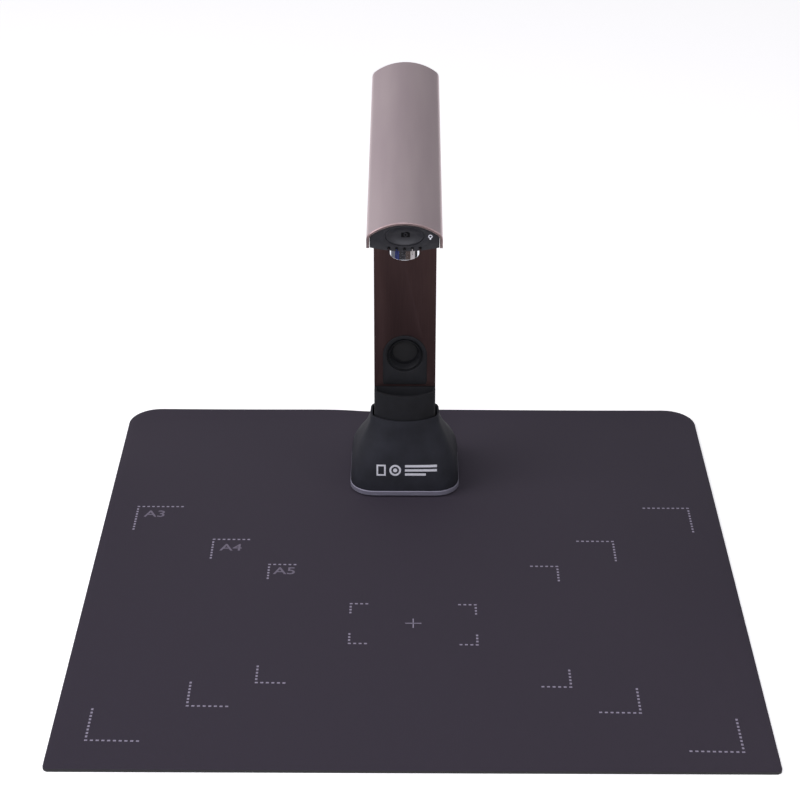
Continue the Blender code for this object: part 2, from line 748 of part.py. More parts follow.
def build_arm_cable():
    """The cable from the base's board, in at the neck's back window and straight up the arm."""
    board_end = Vector((STAND_X, BOARD_BACK_Y - BOARD_DEPTH + 0.0020, BOARD_Z + 0.0062))
    window = Vector((STAND_X, ARM_BACK_Y + 0.0010, FLANGE_TOP + 0.0120))
    riser = Vector((STAND_X, CABLE_Y, FLANGE_TOP + 0.0260))
    top = Vector((STAND_X, CABLE_Y, BLOCK_TOP_Z - 0.0060))
    start_way = board_end + Vector((0, -0.008, 0.004))
    straight = [riser.lerp(top, i / 8) for i in range(1, 9)]
    cable("arm_cable", bezier(board_end, start_way, window, riser, 12) + straight)


def bezier(a, b, c, d, steps):
    """Points along the curve that leaves a towards b and reaches d from c."""
    shares = [i / steps for i in range(steps + 1)]
    return [
        a * (1 - t) ** 3 + b * 3 * t * (1 - t) ** 2 + c * 3 * t**2 * (1 - t) + d * t**3
        for t in shares
    ]


def cable(name, route, frame=None):
    """A round cable along a route of points."""
    curve = bpy.data.curves.new(name, "CURVE")
    curve.dimensions = "3D"
    curve.bevel_depth = CABLE_RADIUS
    curve.bevel_resolution = 2
    curve.use_fill_caps = True
    spline = curve.splines.new("POLY")
    spline.points.add(len(route) - 1)
    for point, place_at in zip(spline.points, route):
        point.co = (*place_at, 1)
    curve.materials.append(RUBBER)
    obj = bpy.data.objects.new(name, curve)
    PARTS.objects.link(obj)
    obj.parent = frame


# --- The hinge ------------------------------------------------------------------------------------


def build_hinge_block():
    """The casting in the arm's top, with the hinge's middle knuckle."""
    bottom = ARM_TOP_Z + GAP
    height = BLOCK_TOP_Z - bottom
    block = slab("hinge_block", arm_outline(), height, CAST_BLACK, at=(STAND_X, 0, bottom + height / 2))
    spigot = slab(
        "spigot",
        arm_outline(ARM_WALL + GAP),
        BLOCK_SPIGOT + 0.0020,
        CAST_BLACK,
        at=(STAND_X, 0, bottom - BLOCK_SPIGOT / 2 + 0.0010),
    )
    axis = (STAND_X, HINGE_Y, HINGE_Z)
    knuckle = rod("knuckle", KNUCKLE_RADIUS, 2 * MIDDLE_KNUCKLE, axis, CAST_BLACK, axis="X")
    join(block, spigot, knuckle)
    room_length = COLUMN_WIDTH / 2
    room_radius = KNUCKLE_RADIUS + KNUCKLE_CLEARANCE
    for side, _ in SIDES:
        middle = (STAND_X + side * (MIDDLE_KNUCKLE + room_length / 2), HINGE_Y, HINGE_Z)
        cut(block, rod("room", room_radius, room_length, middle, CAST_BLACK, axis="X"))
    cut(block, pin_bore(axis, CAST_BLACK))
    cut(block, cable_bore(BLOCK_TOP_Z - BLOCK_SPIGOT, 5 * BLOCK_SPIGOT, CAST_BLACK))
    for side, _ in SIDES:
        middle = (STAND_X + side * SPIGOT_HOLE_X, ARM_FACE_Y, bottom - BLOCK_SPIGOT / 2)
        cut(block, screw_bore(middle, ARM_DEPTH, CAST_BLACK, axis="Y"))


def pin_bore(middle, material, frame=None):
    """The cutter of the hinge pin's hole."""
    return rod("pin_bore", PIN_RADIUS + PIN_CLEARANCE, 2 * COLUMN_WIDTH, middle, material, "X", frame)


def build_hinge_pieces(head):
    """On the axis: the pin, a washer each side of the middle knuckle, and the two end caps."""
    length = 2 * (SIDE_KNUCKLE_X + SIDE_KNUCKLE)
    rod("hinge_pin", PIN_RADIUS, length, (0, 0, 0), ZINC_STEEL, axis="X", frame=head)
    for side, word in SIDES:
        x = side * (MIDDLE_KNUCKLE + GAP + WASHER_THICKNESS / 2)
        washer = rod(
            f"friction_washer_{word}",
            KNUCKLE_RADIUS - 0.0003,
            WASHER_THICKNESS,
            (x, 0, 0),
            BRASS,
            axis="X",
            frame=head,
        )
        cut(washer, pin_bore((0, 0, 0), BRASS, head))
        cap_at = (side * (length / 2 + GAP + CAP_THICKNESS / 2), 0, 0)
        cap_radius = KNUCKLE_RADIUS - 0.0002
        rod(f"hinge_cap_{word}", cap_radius, CAP_THICKNESS, cap_at, CAST_BLACK, "X", head)


BRACKET_LENGTH = 0.0420
BRACKET_BACK_Y = 0.0100
BRACKET_WIDTH = INNER_WIDTH - 0.0036
BRACKET_SCREW_X = 0.0140
BRACKET_SCREW_Y = -0.0240
BRACKET_WEB = 0.0070


def build_head_bracket(head):
    """The steel bracket that carries the head: a plate, with a knuckle under each side."""
    bottom = BRACKET_RISE
    bracket = box(
        "head_bracket",
        (BRACKET_WIDTH, BRACKET_LENGTH, BRACKET_THICKNESS),
        (0, BRACKET_BACK_Y - BRACKET_LENGTH / 2, bottom + BRACKET_THICKNESS / 2),
        ZINC_STEEL,
        frame=head,
    )
    web_height = bottom + BRACKET_THICKNESS / 2
    for side, _ in SIDES:
        x = side * (SIDE_KNUCKLE_X + SIDE_KNUCKLE / 2)
        web_size = (SIDE_KNUCKLE, BRACKET_WEB, web_height)
        web = box("web", web_size, (x, 0, web_height / 2), ZINC_STEEL, head)
        knuckle = rod("knuckle", KNUCKLE_RADIUS, SIDE_KNUCKLE, (x, 0, 0), ZINC_STEEL, "X", head)
        join(bracket, web, knuckle)
    cut(bracket, pin_bore((0, 0, 0), ZINC_STEEL, head))
    for side, _ in SIDES:
        at = (side * BRACKET_SCREW_X, BRACKET_SCREW_Y, bottom)
        cut(bracket, screw_bore(at, 5 * BRACKET_THICKNESS, ZINC_STEEL, frame=head))


# --- The head -------------------------------------------------------------------------------------

LAMP_WIDTH = 0.0100
LAMP_X = INNER_WIDTH / 2 - LAMP_WIDTH / 2 - 0.0048
LAMP_Y = LENS_Y + 0.0165
LAMP_LENGTH = 0.0050
CAMERA_BOARD_Z = EDGE + 0.43 * HEAD_HEIGHT
CAMERA_BOARD_WIDTH = 0.0340
LAMP_BOARD_Z = EDGE + 0.0008
LAMP_BOARD = (INNER_WIDTH - 0.0076, 0.0100, 0.0010)
KEY_BOARD = (0.0200, 0.0010, 0.0060)
KEY_SWITCH = (0.0035, 0.0008, 0.0035)
KEY_BOARD_RISE = 0.0015  # above the key's middle
HEAD_SCREW_LENGTH = 0.0115
VENT = (0.0160, 0.0014, 0.0200)
VENT_PITCH = 0.0050
VENT_COUNT = 7
VENT_START = 0.0150  # behind the lamps
THROUGH = 0.0200  # the length of a cutter that passes right through the underside


def build_head_shell(head):
    outer = arch(HEAD_WIDTH, HEAD_HEIGHT, CROWN_RADIUS, HEAD_SHOULDER, steps=18)
    inner = arch(HEAD_WIDTH, HEAD_HEIGHT, CROWN_RADIUS, HEAD_SHOULDER, HEAD_WALL, steps=18)
    half = HEAD_WIDTH / 2
    right_edge = [(half - HEAD_WALL, 0), (half, 0)]
    left_edge = [(-half, 0), (HEAD_WALL - half, 0)]
    outline = right_edge + outer + left_edge + inner[::-1]
    shell = slab(
        "head_shell",
        outline,
        HEAD_FRONT + HEAD_REAR,
        CHAMPAGNE_ANODISED,
        at=(0, (HEAD_REAR - HEAD_FRONT) / 2, EDGE),
        turn=TURNS["Y"],
        frame=head,
    )
    soften(shell, 0.0004, segments=2, angle=50)


def bulge(x):
    """The height of the crowned underside at x, from the shell's lower edges."""
    return -UNDERSIDE_BULGE * (1 - (x / (INNER_WIDTH / 2)) ** 2)


def crowned_edge(steps=16):
    half = INNER_WIDTH / 2
    return [(x, bulge(x)) for x in (-half + 2 * half * i / steps for i in range(steps + 1))]


def cover_outline():
    """The underside's section, crowned below and above."""
    lower = crowned_edge()
    return lower + [(x, y + COVER_THICKNESS) for x, y in lower[::-1]]


def build_underside(head):
    length = COVER_BACK_Y - COVER_FRONT_Y
    cover = slab(
        "head_underside",
        cover_outline(),
        length,
        MOULDED_BLACK,
        at=(0, (COVER_BACK_Y + COVER_FRONT_Y) / 2, EDGE),
        turn=TURNS["Y"],
        frame=head,
    )
    reach = BARREL_RADIUS + GAP
    hole = rod("barrel_hole", reach, THROUGH, (0, LENS_Y, EDGE), MOULDED_BLACK, "Z", head, 48)
    notch_size = (2 * BARREL_RADIUS + 0.0019, LENS_SETBACK, THROUGH)
    notch_at = (0, LENS_Y - LENS_SETBACK / 2 - 0.0020, EDGE)
    cut(cover, hole, box("barrel_notch", notch_size, notch_at, MOULDED_BLACK, head))
    window_size = (LAMP_WIDTH + 2 * GAP, LAMP_LENGTH + 2 * GAP, THROUGH)
    sink_radius = SCREW_HEAD_RADIUS + SCREW_GAP
    for side, word in SIDES:
        window_at = (side * LAMP_X, LAMP_Y, EDGE)
        cut(cover, box("lamp_hole", window_size, window_at, MOULDED_BLACK, head))
        x = side * BRACKET_SCREW_X
        cut(cover, screw_bore((x, BRACKET_SCREW_Y, EDGE), THROUGH, MOULDED_BLACK, frame=head))
        sink_z = EDGE + bulge(x) - 0.0010
        sink_at = (x, BRACKET_SCREW_Y, sink_z)
        cut(cover, rod("sink", sink_radius, 0.0032, sink_at, MOULDED_BLACK, "Z", head, 20))
        head_bottom = sink_z - 0.0001
        screw(f"head_screw_{word}", x, BRACKET_SCREW_Y, head_bottom, HEAD_SCREW_LENGTH, frame=head)
    build_vents(head, cover)


def build_vents(head, cover):
    """A row of slots under the boards, to let their warmth out."""
    for i in range(VENT_COUNT):
        at = (0, LAMP_Y + VENT_START + VENT_PITCH * i, EDGE)
        cut(cover, box("vent", VENT, at, MOULDED_BLACK, head))


def end_outline(lower_edge):
    """The head's end section inside the shell, on a lower edge that runs from left to right."""
    return lower_edge + arch(HEAD_WIDTH, HEAD_HEIGHT, CROWN_RADIUS, HEAD_SHOULDER, HEAD_WALL + GAP)


def build_end_plate(head):
    plate = slab(
        "head_end_plate",
        end_outline(crowned_edge()),
        END_THICKNESS,
        MOULDED_BLACK,
        at=(0, (END_FRONT_Y + END_BACK_Y) / 2, EDGE),
        turn=TURNS["Y"],
        frame=head,
    )
    middle = (0, (END_FRONT_Y + END_BACK_Y) / 2, EDGE + KEY_CENTRE)
    window = slab(
        "key_window",
        ellipse(KEY_WIDTH / 2 + GAP, KEY_HEIGHT / 2 + GAP),
        3 * END_THICKNESS,
        MOULDED_BLACK,
        at=middle,
        turn=TURNS["Y"],
        frame=head,
    )
    cut(plate, window)
    for i in range(NOTCH_COUNT):
        x = (i - (NOTCH_COUNT - 1) / 2) * NOTCH_PITCH
        z = EDGE + bulge(x) + NOTCH_HEIGHT
        hole = rod("notch", NOTCH_HOLE, 3 * END_THICKNESS, (x, middle[1], z), MOULDED_BLACK, "Y", head, 16)
        slit = box(
            "slit",
            (2 * NOTCH_SLIT, 3 * END_THICKNESS, 2 * NOTCH_HEIGHT),
            (x, middle[1], z - NOTCH_HEIGHT),
            MOULDED_BLACK,
            frame=head,
        )
        cut(plate, hole, slit)


def ellipse(half_width, half_height, steps=40):
    angles = (2 * math.pi * i / steps for i in range(steps))
    return [(half_width * math.cos(a), half_height * math.sin(a)) for a in angles]


KEY_FLANGE = (KEY_WIDTH + 0.0035, KEY_HEIGHT - 0.0060, 0.0006)
KEY_BACK_Y = END_BACK_Y + GAP + KEY_FLANGE[2]


def build_key(head):
    """The capture key: an oval button with a finger dish, held behind the plate by its flange."""
    length = KEY_BACK_Y - END_FRONT_Y
    key = slab(
        "capture_key",
        ellipse(KEY_WIDTH / 2, KEY_HEIGHT / 2),
        length,
        MOULDED_BLACK,
        at=(0, END_FRONT_Y + length / 2, EDGE + KEY_CENTRE),
        turn=TURNS["Y"],
        frame=head,
    )
    flange_y = END_BACK_Y + GAP + KEY_FLANGE[2] / 2
    size = (KEY_FLANGE[0], KEY_FLANGE[2], KEY_FLANGE[1])
    join(key, box("flange", size, (0, flange_y, EDGE + KEY_CENTRE), MOULDED_BLACK, frame=head))
    cut(key, dish_cutter(head))


def dish_cutter(head):
    """A flattened ball that leaves the key's dish, with a narrow flat rim round it."""
    half_width = KEY_WIDTH / 2 - 0.0006
    half_height = KEY_HEIGHT / 2 - 0.0006
    depth = 2.2 * KEY_DISH
    reach = math.sqrt(1 - (1 - KEY_DISH / depth) ** 2)
    mesh = bpy.data.meshes.new("dish")
    ball = bmesh.new()
    bmesh.ops.create_uvsphere(ball, u_segments=32, v_segments=16, radius=1.0)
    bmesh.ops.scale(ball, vec=Vector((half_width / reach, half_height / reach, depth)), verts=ball.verts)
    ball.to_mesh(mesh)
    ball.free()
    at = (0, END_FRONT_Y - depth + KEY_DISH, EDGE + KEY_CENTRE)
    return place("dish", mesh, MOULDED_BLACK, at=at, turn=TURNS["Y"], frame=head)


def build_rear_cap(head):
    """The head's back end: an arched wall with a floor that runs forward over the hinge."""
    back = HEAD_REAR - REAR_INSET
    cap = slab(
        "head_rear_cap",
        end_outline([(-INNER_WIDTH / 2, 0), (INNER_WIDTH / 2, 0)]),
        REAR_WALL,
        MOULDED_BLACK,
        at=(0, back - REAR_WALL / 2, EDGE),
        turn=TURNS["Y"],
        frame=head,
    )
    front = KNUCKLE_RADIUS + KNUCKLE_CLEARANCE
    floor_size = (INNER_WIDTH - 0.0002, back - front - 0.0004, REAR_FLOOR)
    floor_at = (0, (back + front) / 2, EDGE + REAR_FLOOR / 2 + 0.0001)
    join(cap, box("floor", floor_size, floor_at, MOULDED_BLACK, head))


def build_camera(head):
    """The bright barrel under the head, the lens in it, and the boards above."""
    tip = EDGE - BARREL_DROP
    top = EDGE + 0.0040
    shoulder = EDGE + 0.0002
    barrel_profile = [
        (BARREL_BORE, top),
        (BARREL_NECK, top),
        (BARREL_NECK, shoulder),
        (BARREL_RADIUS, shoulder),
        (BARREL_RADIUS, tip + 0.0010),
        (BARREL_RADIUS - 0.0003, tip + 0.0003),
        (BARREL_RADIUS - 0.0010, tip),
        (GLASS_RADIUS + 0.0010, tip),
        (GLASS_RADIUS + GAP, tip + 0.0012),
        (GLASS_RADIUS + GAP, tip + 0.0042),
        (BARREL_BORE, tip + 0.0042),
        (BARREL_BORE, top),
    ]
    turned("lens_barrel", barrel_profile, (0, LENS_Y, 0), CHROME, frame=head, steps=44)
    glass_profile = [
        (0.0, tip + 0.0038),
        (GLASS_RADIUS, tip + 0.0038),
        (GLASS_RADIUS, tip + 0.0030),
        (GLASS_RADIUS * 0.8, tip + 0.0025),
        (GLASS_RADIUS * 0.5, tip + 0.0021),
        (0.0, tip + 0.0019),
    ]
    turned("lens_glass", glass_profile, (0, LENS_Y, 0), GLASS, frame=head, steps=32)
    stack_top = CAMERA_BOARD_Z - 0.0008
    stack_profile = [
        (0.0, stack_top),
        (BARREL_BORE - GAP, stack_top),
        (BARREL_BORE - GAP, tip + 0.0042 + GAP),
        (0.0, tip + 0.0042 + GAP),
    ]
    turned("lens_stack", stack_profile, (0, LENS_Y, 0), CAST_BLACK, frame=head, steps=32)
    board_front = LENS_Y - 0.0060
    board_back = LENS_Y + 0.0560
    box(
        "camera_board",
        (CAMERA_BOARD_WIDTH, board_back - board_front, BOARD_THICKNESS),
        (0, (board_front + board_back) / 2, CAMERA_BOARD_Z + BOARD_THICKNESS / 2),
        BOARD_GREEN,
        frame=head,
    )
    board_z = EDGE + KEY_CENTRE + KEY_BOARD_RISE
    key_board_y = KEY_BACK_Y + KEY_TRAVEL + 0.0017
    switch_y = key_board_y - KEY_BOARD[1] / 2 - KEY_SWITCH[1] / 2 - GAP
    box("key_board", KEY_BOARD, (0, key_board_y, board_z), BOARD_GREEN, head)
    box("key_switch", KEY_SWITCH, (0, switch_y, board_z), ZINC_STEEL, head)
    build_lamps(head)


def build_lamps(head):
    board_at = (0, LAMP_Y, LAMP_BOARD_Z + LAMP_BOARD[2] / 2)
    box("lamp_board", LAMP_BOARD, board_at, BOARD_GREEN, head)
    low = EDGE + bulge(LAMP_X) - 0.0002
    high = LAMP_BOARD_Z - GAP
    for side, word in SIDES:
        lamp = box(
            f"lamp_window_{word}",
            (LAMP_WIDTH, LAMP_LENGTH, high - low),
            (side * LAMP_X, LAMP_Y, (high + low) / 2),
            LAMP_PLASTIC,
            frame=head,
        )
        soften(lamp, 0.0004, segments=2)


def build_head_cable(head):
    """The cable along the head, from the hinge to the camera's board."""
    start = Vector((0, 0.0120, BRACKET_RISE + BRACKET_THICKNESS + CABLE_RADIUS + 0.0016))
    end = Vector((0, LENS_Y + 0.0565, CAMERA_BOARD_Z + 0.0010))
    lift = Vector((0, 0, 0.0015))
    first = start + Vector((0, -0.03, 0)) + lift
    last = end + Vector((0, 0.03, 0)) + lift
    cable("head_cable", bezier(start, first, last, end, 24), frame=head)


# --- Build ----------------------------------------------------------------------------------------

clear_scene()
PARTS = new_collection("document_camera")
TOOLS = new_collection("cutters")

MAT_CLOTH = finish("mat_rubber_cloth", (0.045, 0.037, 0.056), 0.75)
SOFT_TOUCH = finish("soft_touch_plastic", (0.019, 0.021, 0.025), 0.55)
MOULDED_BLACK = finish("moulded_black_plastic", (0.033, 0.033, 0.040), 0.45)
SATIN_ALUMINIUM = finish("satin_aluminium", (0.32, 0.31, 0.36), 0.40, metallic=1.0)
CHAMPAGNE_ANODISED = finish("champagne_anodised", (0.42, 0.36, 0.36), 0.38, metallic=1.0)
BROWN_ANODISED = finish("brown_anodised", (0.060, 0.030, 0.028), 0.40, metallic=1.0)
CAST_BLACK = finish("black_die_casting", (0.020, 0.020, 0.022), 0.50)
ZINC_STEEL = finish("zinc_plated_steel", (0.55, 0.56, 0.58), 0.35, metallic=1.0)
CHROME = finish("polished_chrome", (0.75, 0.75, 0.77), 0.08, metallic=1.0)
BRASS = finish("brass", (0.60, 0.42, 0.16), 0.35, metallic=1.0)
RUBBER = finish("black_rubber", (0.018, 0.018, 0.018), 0.80)
BOARD_GREEN = finish("circuit_board", (0.01, 0.10, 0.05), 0.45)
GLASS = finish("coated_glass", (0.05, 0.06, 0.10), 0.03, alpha=0.5)
LAMP_PLASTIC = finish("frosted_lamp_plastic", (0.75, 0.75, 0.72), 0.50)

build_mat()
build_base_housing()
build_base_plate()
build_feet_and_screws()
build_base_inside()
build_neck()
build_anchor()
build_arm()
build_pocket()
build_arm_cable()
build_hinge_block()

HEAD = bpy.data.objects.new("head_hinge_axis", None)
PARTS.objects.link(HEAD)
HEAD.location = (STAND_X, HINGE_Y, HINGE_Z)
HEAD.rotation_euler = (HEAD_SLOPE, 0, 0)
build_hinge_pieces(HEAD)
build_head_bracket(HEAD)
build_head_shell(HEAD)
build_underside(HEAD)
build_end_plate(HEAD)
build_key(HEAD)
build_rear_cap(HEAD)
build_camera(HEAD)
build_head_cable(HEAD)
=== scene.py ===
# %% [markdown]
# # A folding document camera in Blender
#
# The object is a slim camera on a weighted stand, which looks down at a marked mat. Its working shape
# is already made as a solid model, so this lesson is about everything that makes it look real: soft
# edges, printed marks, moulded and anodised surfaces, a lens, light and a camera.
#
# The solid model comes in as a fixed frame. Each of its nodes keeps its place, and each new piece is
# made to ride on the body that it moves with: the stand ("root"), the folding head or the capture key.

import json
import math

import bmesh
import bpy
from mathutils import Matrix, Vector
from mathutils.bvhtree import BVHTree

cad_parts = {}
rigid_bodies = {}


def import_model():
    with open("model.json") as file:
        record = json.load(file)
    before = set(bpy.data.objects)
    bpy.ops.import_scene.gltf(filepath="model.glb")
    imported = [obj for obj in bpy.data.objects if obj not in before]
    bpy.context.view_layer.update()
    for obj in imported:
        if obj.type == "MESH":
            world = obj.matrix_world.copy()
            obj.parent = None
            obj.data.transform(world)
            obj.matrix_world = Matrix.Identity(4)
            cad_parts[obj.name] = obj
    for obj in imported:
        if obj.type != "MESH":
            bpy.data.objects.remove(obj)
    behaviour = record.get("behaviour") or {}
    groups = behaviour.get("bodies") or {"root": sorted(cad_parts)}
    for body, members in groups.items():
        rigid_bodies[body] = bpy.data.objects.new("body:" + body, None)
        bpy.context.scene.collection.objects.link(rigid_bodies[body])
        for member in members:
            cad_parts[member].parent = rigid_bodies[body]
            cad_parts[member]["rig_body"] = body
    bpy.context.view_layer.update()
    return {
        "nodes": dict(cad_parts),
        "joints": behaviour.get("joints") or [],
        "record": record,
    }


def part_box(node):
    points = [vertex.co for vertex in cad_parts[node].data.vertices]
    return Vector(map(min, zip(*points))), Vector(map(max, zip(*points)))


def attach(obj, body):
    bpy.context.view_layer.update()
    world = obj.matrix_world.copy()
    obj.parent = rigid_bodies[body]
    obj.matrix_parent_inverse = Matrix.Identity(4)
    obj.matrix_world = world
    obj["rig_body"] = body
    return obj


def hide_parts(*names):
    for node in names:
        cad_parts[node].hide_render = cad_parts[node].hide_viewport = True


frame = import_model()
nodes = frame["nodes"]

# %% [markdown]
# ## Sizes
#
# Everything is in metres, so a millimetre gets a name. Places come from the frame: the box of a node says
# where a piece starts and ends, and the hinge's own record says where the head turns. The head is drawn
# level and then tilted about its hinge, because a sloping piece is far easier to draw straight.

# %% Places taken from the frame
MM = 0.001

hinge = next(joint for joint in frame["joints"] if joint["name"] == "head_fold")
press = next(joint for joint in frame["joints"] if joint["name"] == "capture_press")
AXIS = Vector(hinge["pos_m"])
SLOPE = math.atan2(press["axis"][2], press["axis"][1])
HEAD_PLACE = Matrix.Translation(AXIS) @ Matrix.Rotation(SLOPE, 4, "X")
STAND_X = AXIS.x

mat_low, mat_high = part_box("mat")
print("head slopes", round(math.degrees(SLOPE), 2), "degrees; stand at x", round(STAND_X / MM, 1), "mm")

# %% [markdown]
# ## The camera
#
# A tall object looks calm when it is seen from some distance through a long lens, because its upright
# lines then stay nearly parallel. A short lens close by would show as much of it, but would make the head
# look swollen. Here the camera stands 1.3 m in front of the mat and 0.8 m above it, and a 93 mm lens on a
# 36 mm sensor takes in the whole mat.

# %% Camera
CAMERA_AT = Vector((-3.2, -1275.5, 810.3)) * MM
CAMERA_TURN = (62.204, -0.058, 0.288)
CAMERA_LENS = 92.8

camera_data = bpy.data.cameras.new("camera")
camera_data.lens = CAMERA_LENS
camera_data.sensor_width = 36.0
camera = bpy.data.objects.new("camera", camera_data)
camera.location = CAMERA_AT
camera.rotation_euler = [math.radians(turn) for turn in CAMERA_TURN]
bpy.context.scene.collection.objects.link(camera)
bpy.context.scene.camera = camera
print("camera", round(CAMERA_AT.length, 2), "m from the middle of the mat")

# %% [markdown]
# ## Colour and nodes
#
# Colours are written as the familiar sRGB hex codes. The renderer works with light, not with screen
# values, so one function turns a code into linear numbers.
#
# A material is a small graph. One helper adds a node, sets its inputs, and links an input wherever the
# value that it is given is another node's output.

# %% Colour and node helpers


def linear(code):
    """The linear colour of an sRGB hex code such as "26282b"."""
    values = [int(code[i : i + 2], 16) / 255 for i in (0, 2, 4)]
    return [v / 12.92 if v <= 0.04045 else ((v + 0.055) / 1.055) ** 2.4 for v in values] + [1.0]


def add(material, kind, inputs=None, **settings):
    """Adds a node to a material; an input is set to a value, or linked if it is given an output."""
    tree = material.node_tree
    node = tree.nodes.new("ShaderNode" + kind)
    for name, value in settings.items():
        setattr(node, name, value)
    for name, value in (inputs or {}).items():
        if isinstance(value, bpy.types.NodeSocket):
            tree.links.new(value, node.inputs[name])
        else:
            node.inputs[name].default_value = value
    return node


def join(material, output, socket):
    """Links a node's output to a socket of the material's shader."""
    shader = material.node_tree.nodes["Principled BSDF"]
    material.node_tree.links.new(output, shader.inputs[socket])


print("mid grey", [round(v, 3) for v in linear("808080")[:3]], "as light")

# %% [markdown]
# ## One recipe for most finishes
#
# Hardly any real surface has one even colour. A pigment, a dye or a plating varies slowly, over some
# millimetres, and the surface has a much finer texture, which spreads its gloss and gives it relief. A
# scanned image could carry this, but two noises do it at any distance and never repeat.
#
# So each finish is this recipe with its own real sizes: a slow noise, the tint, moves the colour between two
# hex codes, and a fine one, the texture, moves the roughness and raises the surface. Nearly all values of a
# noise lie between 0.3 and 0.7, so that range is what gets stretched. What is uniform is set on the
# shader's own sockets, where an underscore stands for a space.

# %% The recipe
NOISE_RANGE = (0.3, 0.7)
EVEN = (1, 1, 1)


def surface_finish(name, colours, roughness, tint, texture=None, relief=0.0, ends=NOISE_RANGE, **sockets):
    """A material; a noise is (size in metres, detail, stretch), and texture is the tint if not given."""
    material = bpy.data.materials.new(name)
    material.use_nodes = True
    shader = material.node_tree.nodes["Principled BSDF"]
    for key, value in sockets.items():
        shader.inputs[key.replace("_", " ")].default_value = value
    place = add(material, "TexCoord").outputs["Object"]
    noises = []
    for size, detail, stretch in (tint, texture or tint):
        mapped = add(material, "Mapping", {"Vector": place, "Scale": [1 / s for s in stretch]})
        settings = {"Vector": mapped.outputs["Vector"], "Scale": 1 / size, "Detail": detail}
        noises.append(add(material, "TexNoise", settings).outputs["Fac"])
    if colours:
        ramp = add(material, "ValToRGB", {"Fac": noises[0]})
        for stop, position, code in zip(ramp.color_ramp.elements, ends, colours):
            stop.position = position
            stop.color = linear(code)
        join(material, ramp.outputs["Color"], "Base Color")
    if roughness:
        span = {"Value": noises[1], "From Min": NOISE_RANGE[0], "From Max": NOISE_RANGE[1]}
        span |= {"To Min": roughness[0], "To Max": roughness[1]}
        join(material, add(material, "MapRange", span).outputs["Result"], "Roughness")
    if relief:
        bump = add(material, "Bump", {"Height": noises[1], "Distance": relief, "Strength": 1.0})
        join(material, bump.outputs["Normal"], "Normal")
    print("finish:", name)
    return material


# %% [markdown]
# ## Soft-touch lacquer
#
# The base is ABS sprayed with a rubbery lacquer, IOR 1.5. Its pigment is coarse and scatters light
# widely, so highlights are broad and dim, and the specular level is low. The lacquer's texture is about a
# quarter of a millimetre, drawn here at 0.5 mm so that it shows at all.

# %% Soft-touch lacquer on ABS
soft_touch = surface_finish(
    "soft_touch_lacquer_on_abs",
    ("292a2f", "303138"),
    (0.60, 0.72),
    tint=(14 * MM, 3, EVEN),
    texture=(0.5 * MM, 2, EVEN),
    relief=0.012 * MM,
    Metallic=0.0,
    IOR=1.5,
    Specular_IOR_Level=0.15,
)

# %% [markdown]
# ## Moulded ABS
#
# The neck and the pocket are the same plastic without the lacquer, IOR 1.54: a darker and more even black,
# from a mould that was blasted to a matt 0.4 mm texture. The head's ends and underside come from a
# spark-eroded mould, which prints as fine a texture but leaves more gloss. A second noise of 2 mm keeps
# them from looking like paint.

# %% Bare ABS, matt and spark-eroded
bare_abs = surface_finish(
    "bare_matt_abs",
    ("18191c", "1d1e22"),
    (0.58, 0.70),
    tint=(9 * MM, 2, EVEN),
    texture=(0.4 * MM, 2, EVEN),
    relief=0.010 * MM,
    Metallic=0.0,
    IOR=1.54,
    Specular_IOR_Level=0.3,
)
black_abs = surface_finish(
    "moulded_black_abs",
    ("202025", "27272c"),
    (0.40, 0.52),
    tint=(2 * MM, 2, EVEN),
    texture=(0.4 * MM, 2, EVEN),
    relief=0.010 * MM,
    Metallic=0.0,
    IOR=1.54,
    Specular_IOR_Level=0.4,
)

# %% [markdown]
# ## Anodised aluminium
#
# The head's shell and the arm are extrusions. The shell was blasted with fine beads and dyed a pale
# champagne: every bead leaves a dimple of about 0.1 mm, drawn at 0.3 mm. The arm was brushed along its
# length and dyed dark brown, so its grain is 60 times longer than wide. Dye takes a little unevenly,
# which a slow noise shows. The metal's colour is its reflection, so Metallic stays 1 and the IOR as it is.

# %% Champagne and brown anodised aluminium
champagne = surface_finish(
    "bead_blasted_champagne_aluminium",
    ("d1bfc3", "dac9cb"),
    (0.36, 0.46),
    tint=(30 * MM, 2, (0.5, 4, 0.5)),
    texture=(0.3 * MM, 2, EVEN),
    relief=0.010 * MM,
    Metallic=1.0,
)
brown = surface_finish(
    "brushed_brown_anodised_aluminium",
    ("604c4b", "6c5654"),
    (0.54, 0.68),
    tint=(22 * MM, 2, (1, 1, 5)),
    texture=(0.35 * MM, 3, (1, 1, 60)),
    relief=0.006 * MM,
    Metallic=1.0,
)

# %% [markdown]
# ## Cut, polished and sanded metal
#
# Where the blasted shell is faced off at its front end, a diamond cutter leaves a bright, fine edge. The
# lens barrel is polished and chrome plated, with faint rings from the lathe, so its grain is stretched
# round it. The strip under the base is sanded to a satin, and its anodic layer is thick and milky, so
# only about half of what comes off it is the metal's own reflection: its Metallic is 0.55.

# %% Bright edge, chrome and satin
cut_edge = surface_finish(
    "diamond_cut_aluminium", ("b09999", "bfa9a8"), (0.30, 0.42), tint=(0.4 * MM, 2, EVEN), Metallic=1.0
)
chrome = surface_finish(
    "turned_and_polished_chrome", ("dfe1e6", "eceef2"), (0.04, 0.10), tint=(0.5 * MM, 2, (40, 40, 1)), Metallic=1.0
)
satin = surface_finish(
    "satin_aluminium",
    ("8b8998", "9c9aaa"),
    (0.50, 0.62),
    tint=(0.4 * MM, 3, (20, 20, 1)),
    relief=0.004 * MM,
    Metallic=0.55,
)

# %% [markdown]
# ## Hardware
#
# Screws, weight, bracket and socket are zinc plated, which is a soft, cloudy silver. The hinge pin is
# turned brass. The hinge block is die-cast zinc with black powder coat, which flows into a slight orange
# peel of about 0.8 mm. The feet, pads and cables are black rubber, with a dull bloom on it.

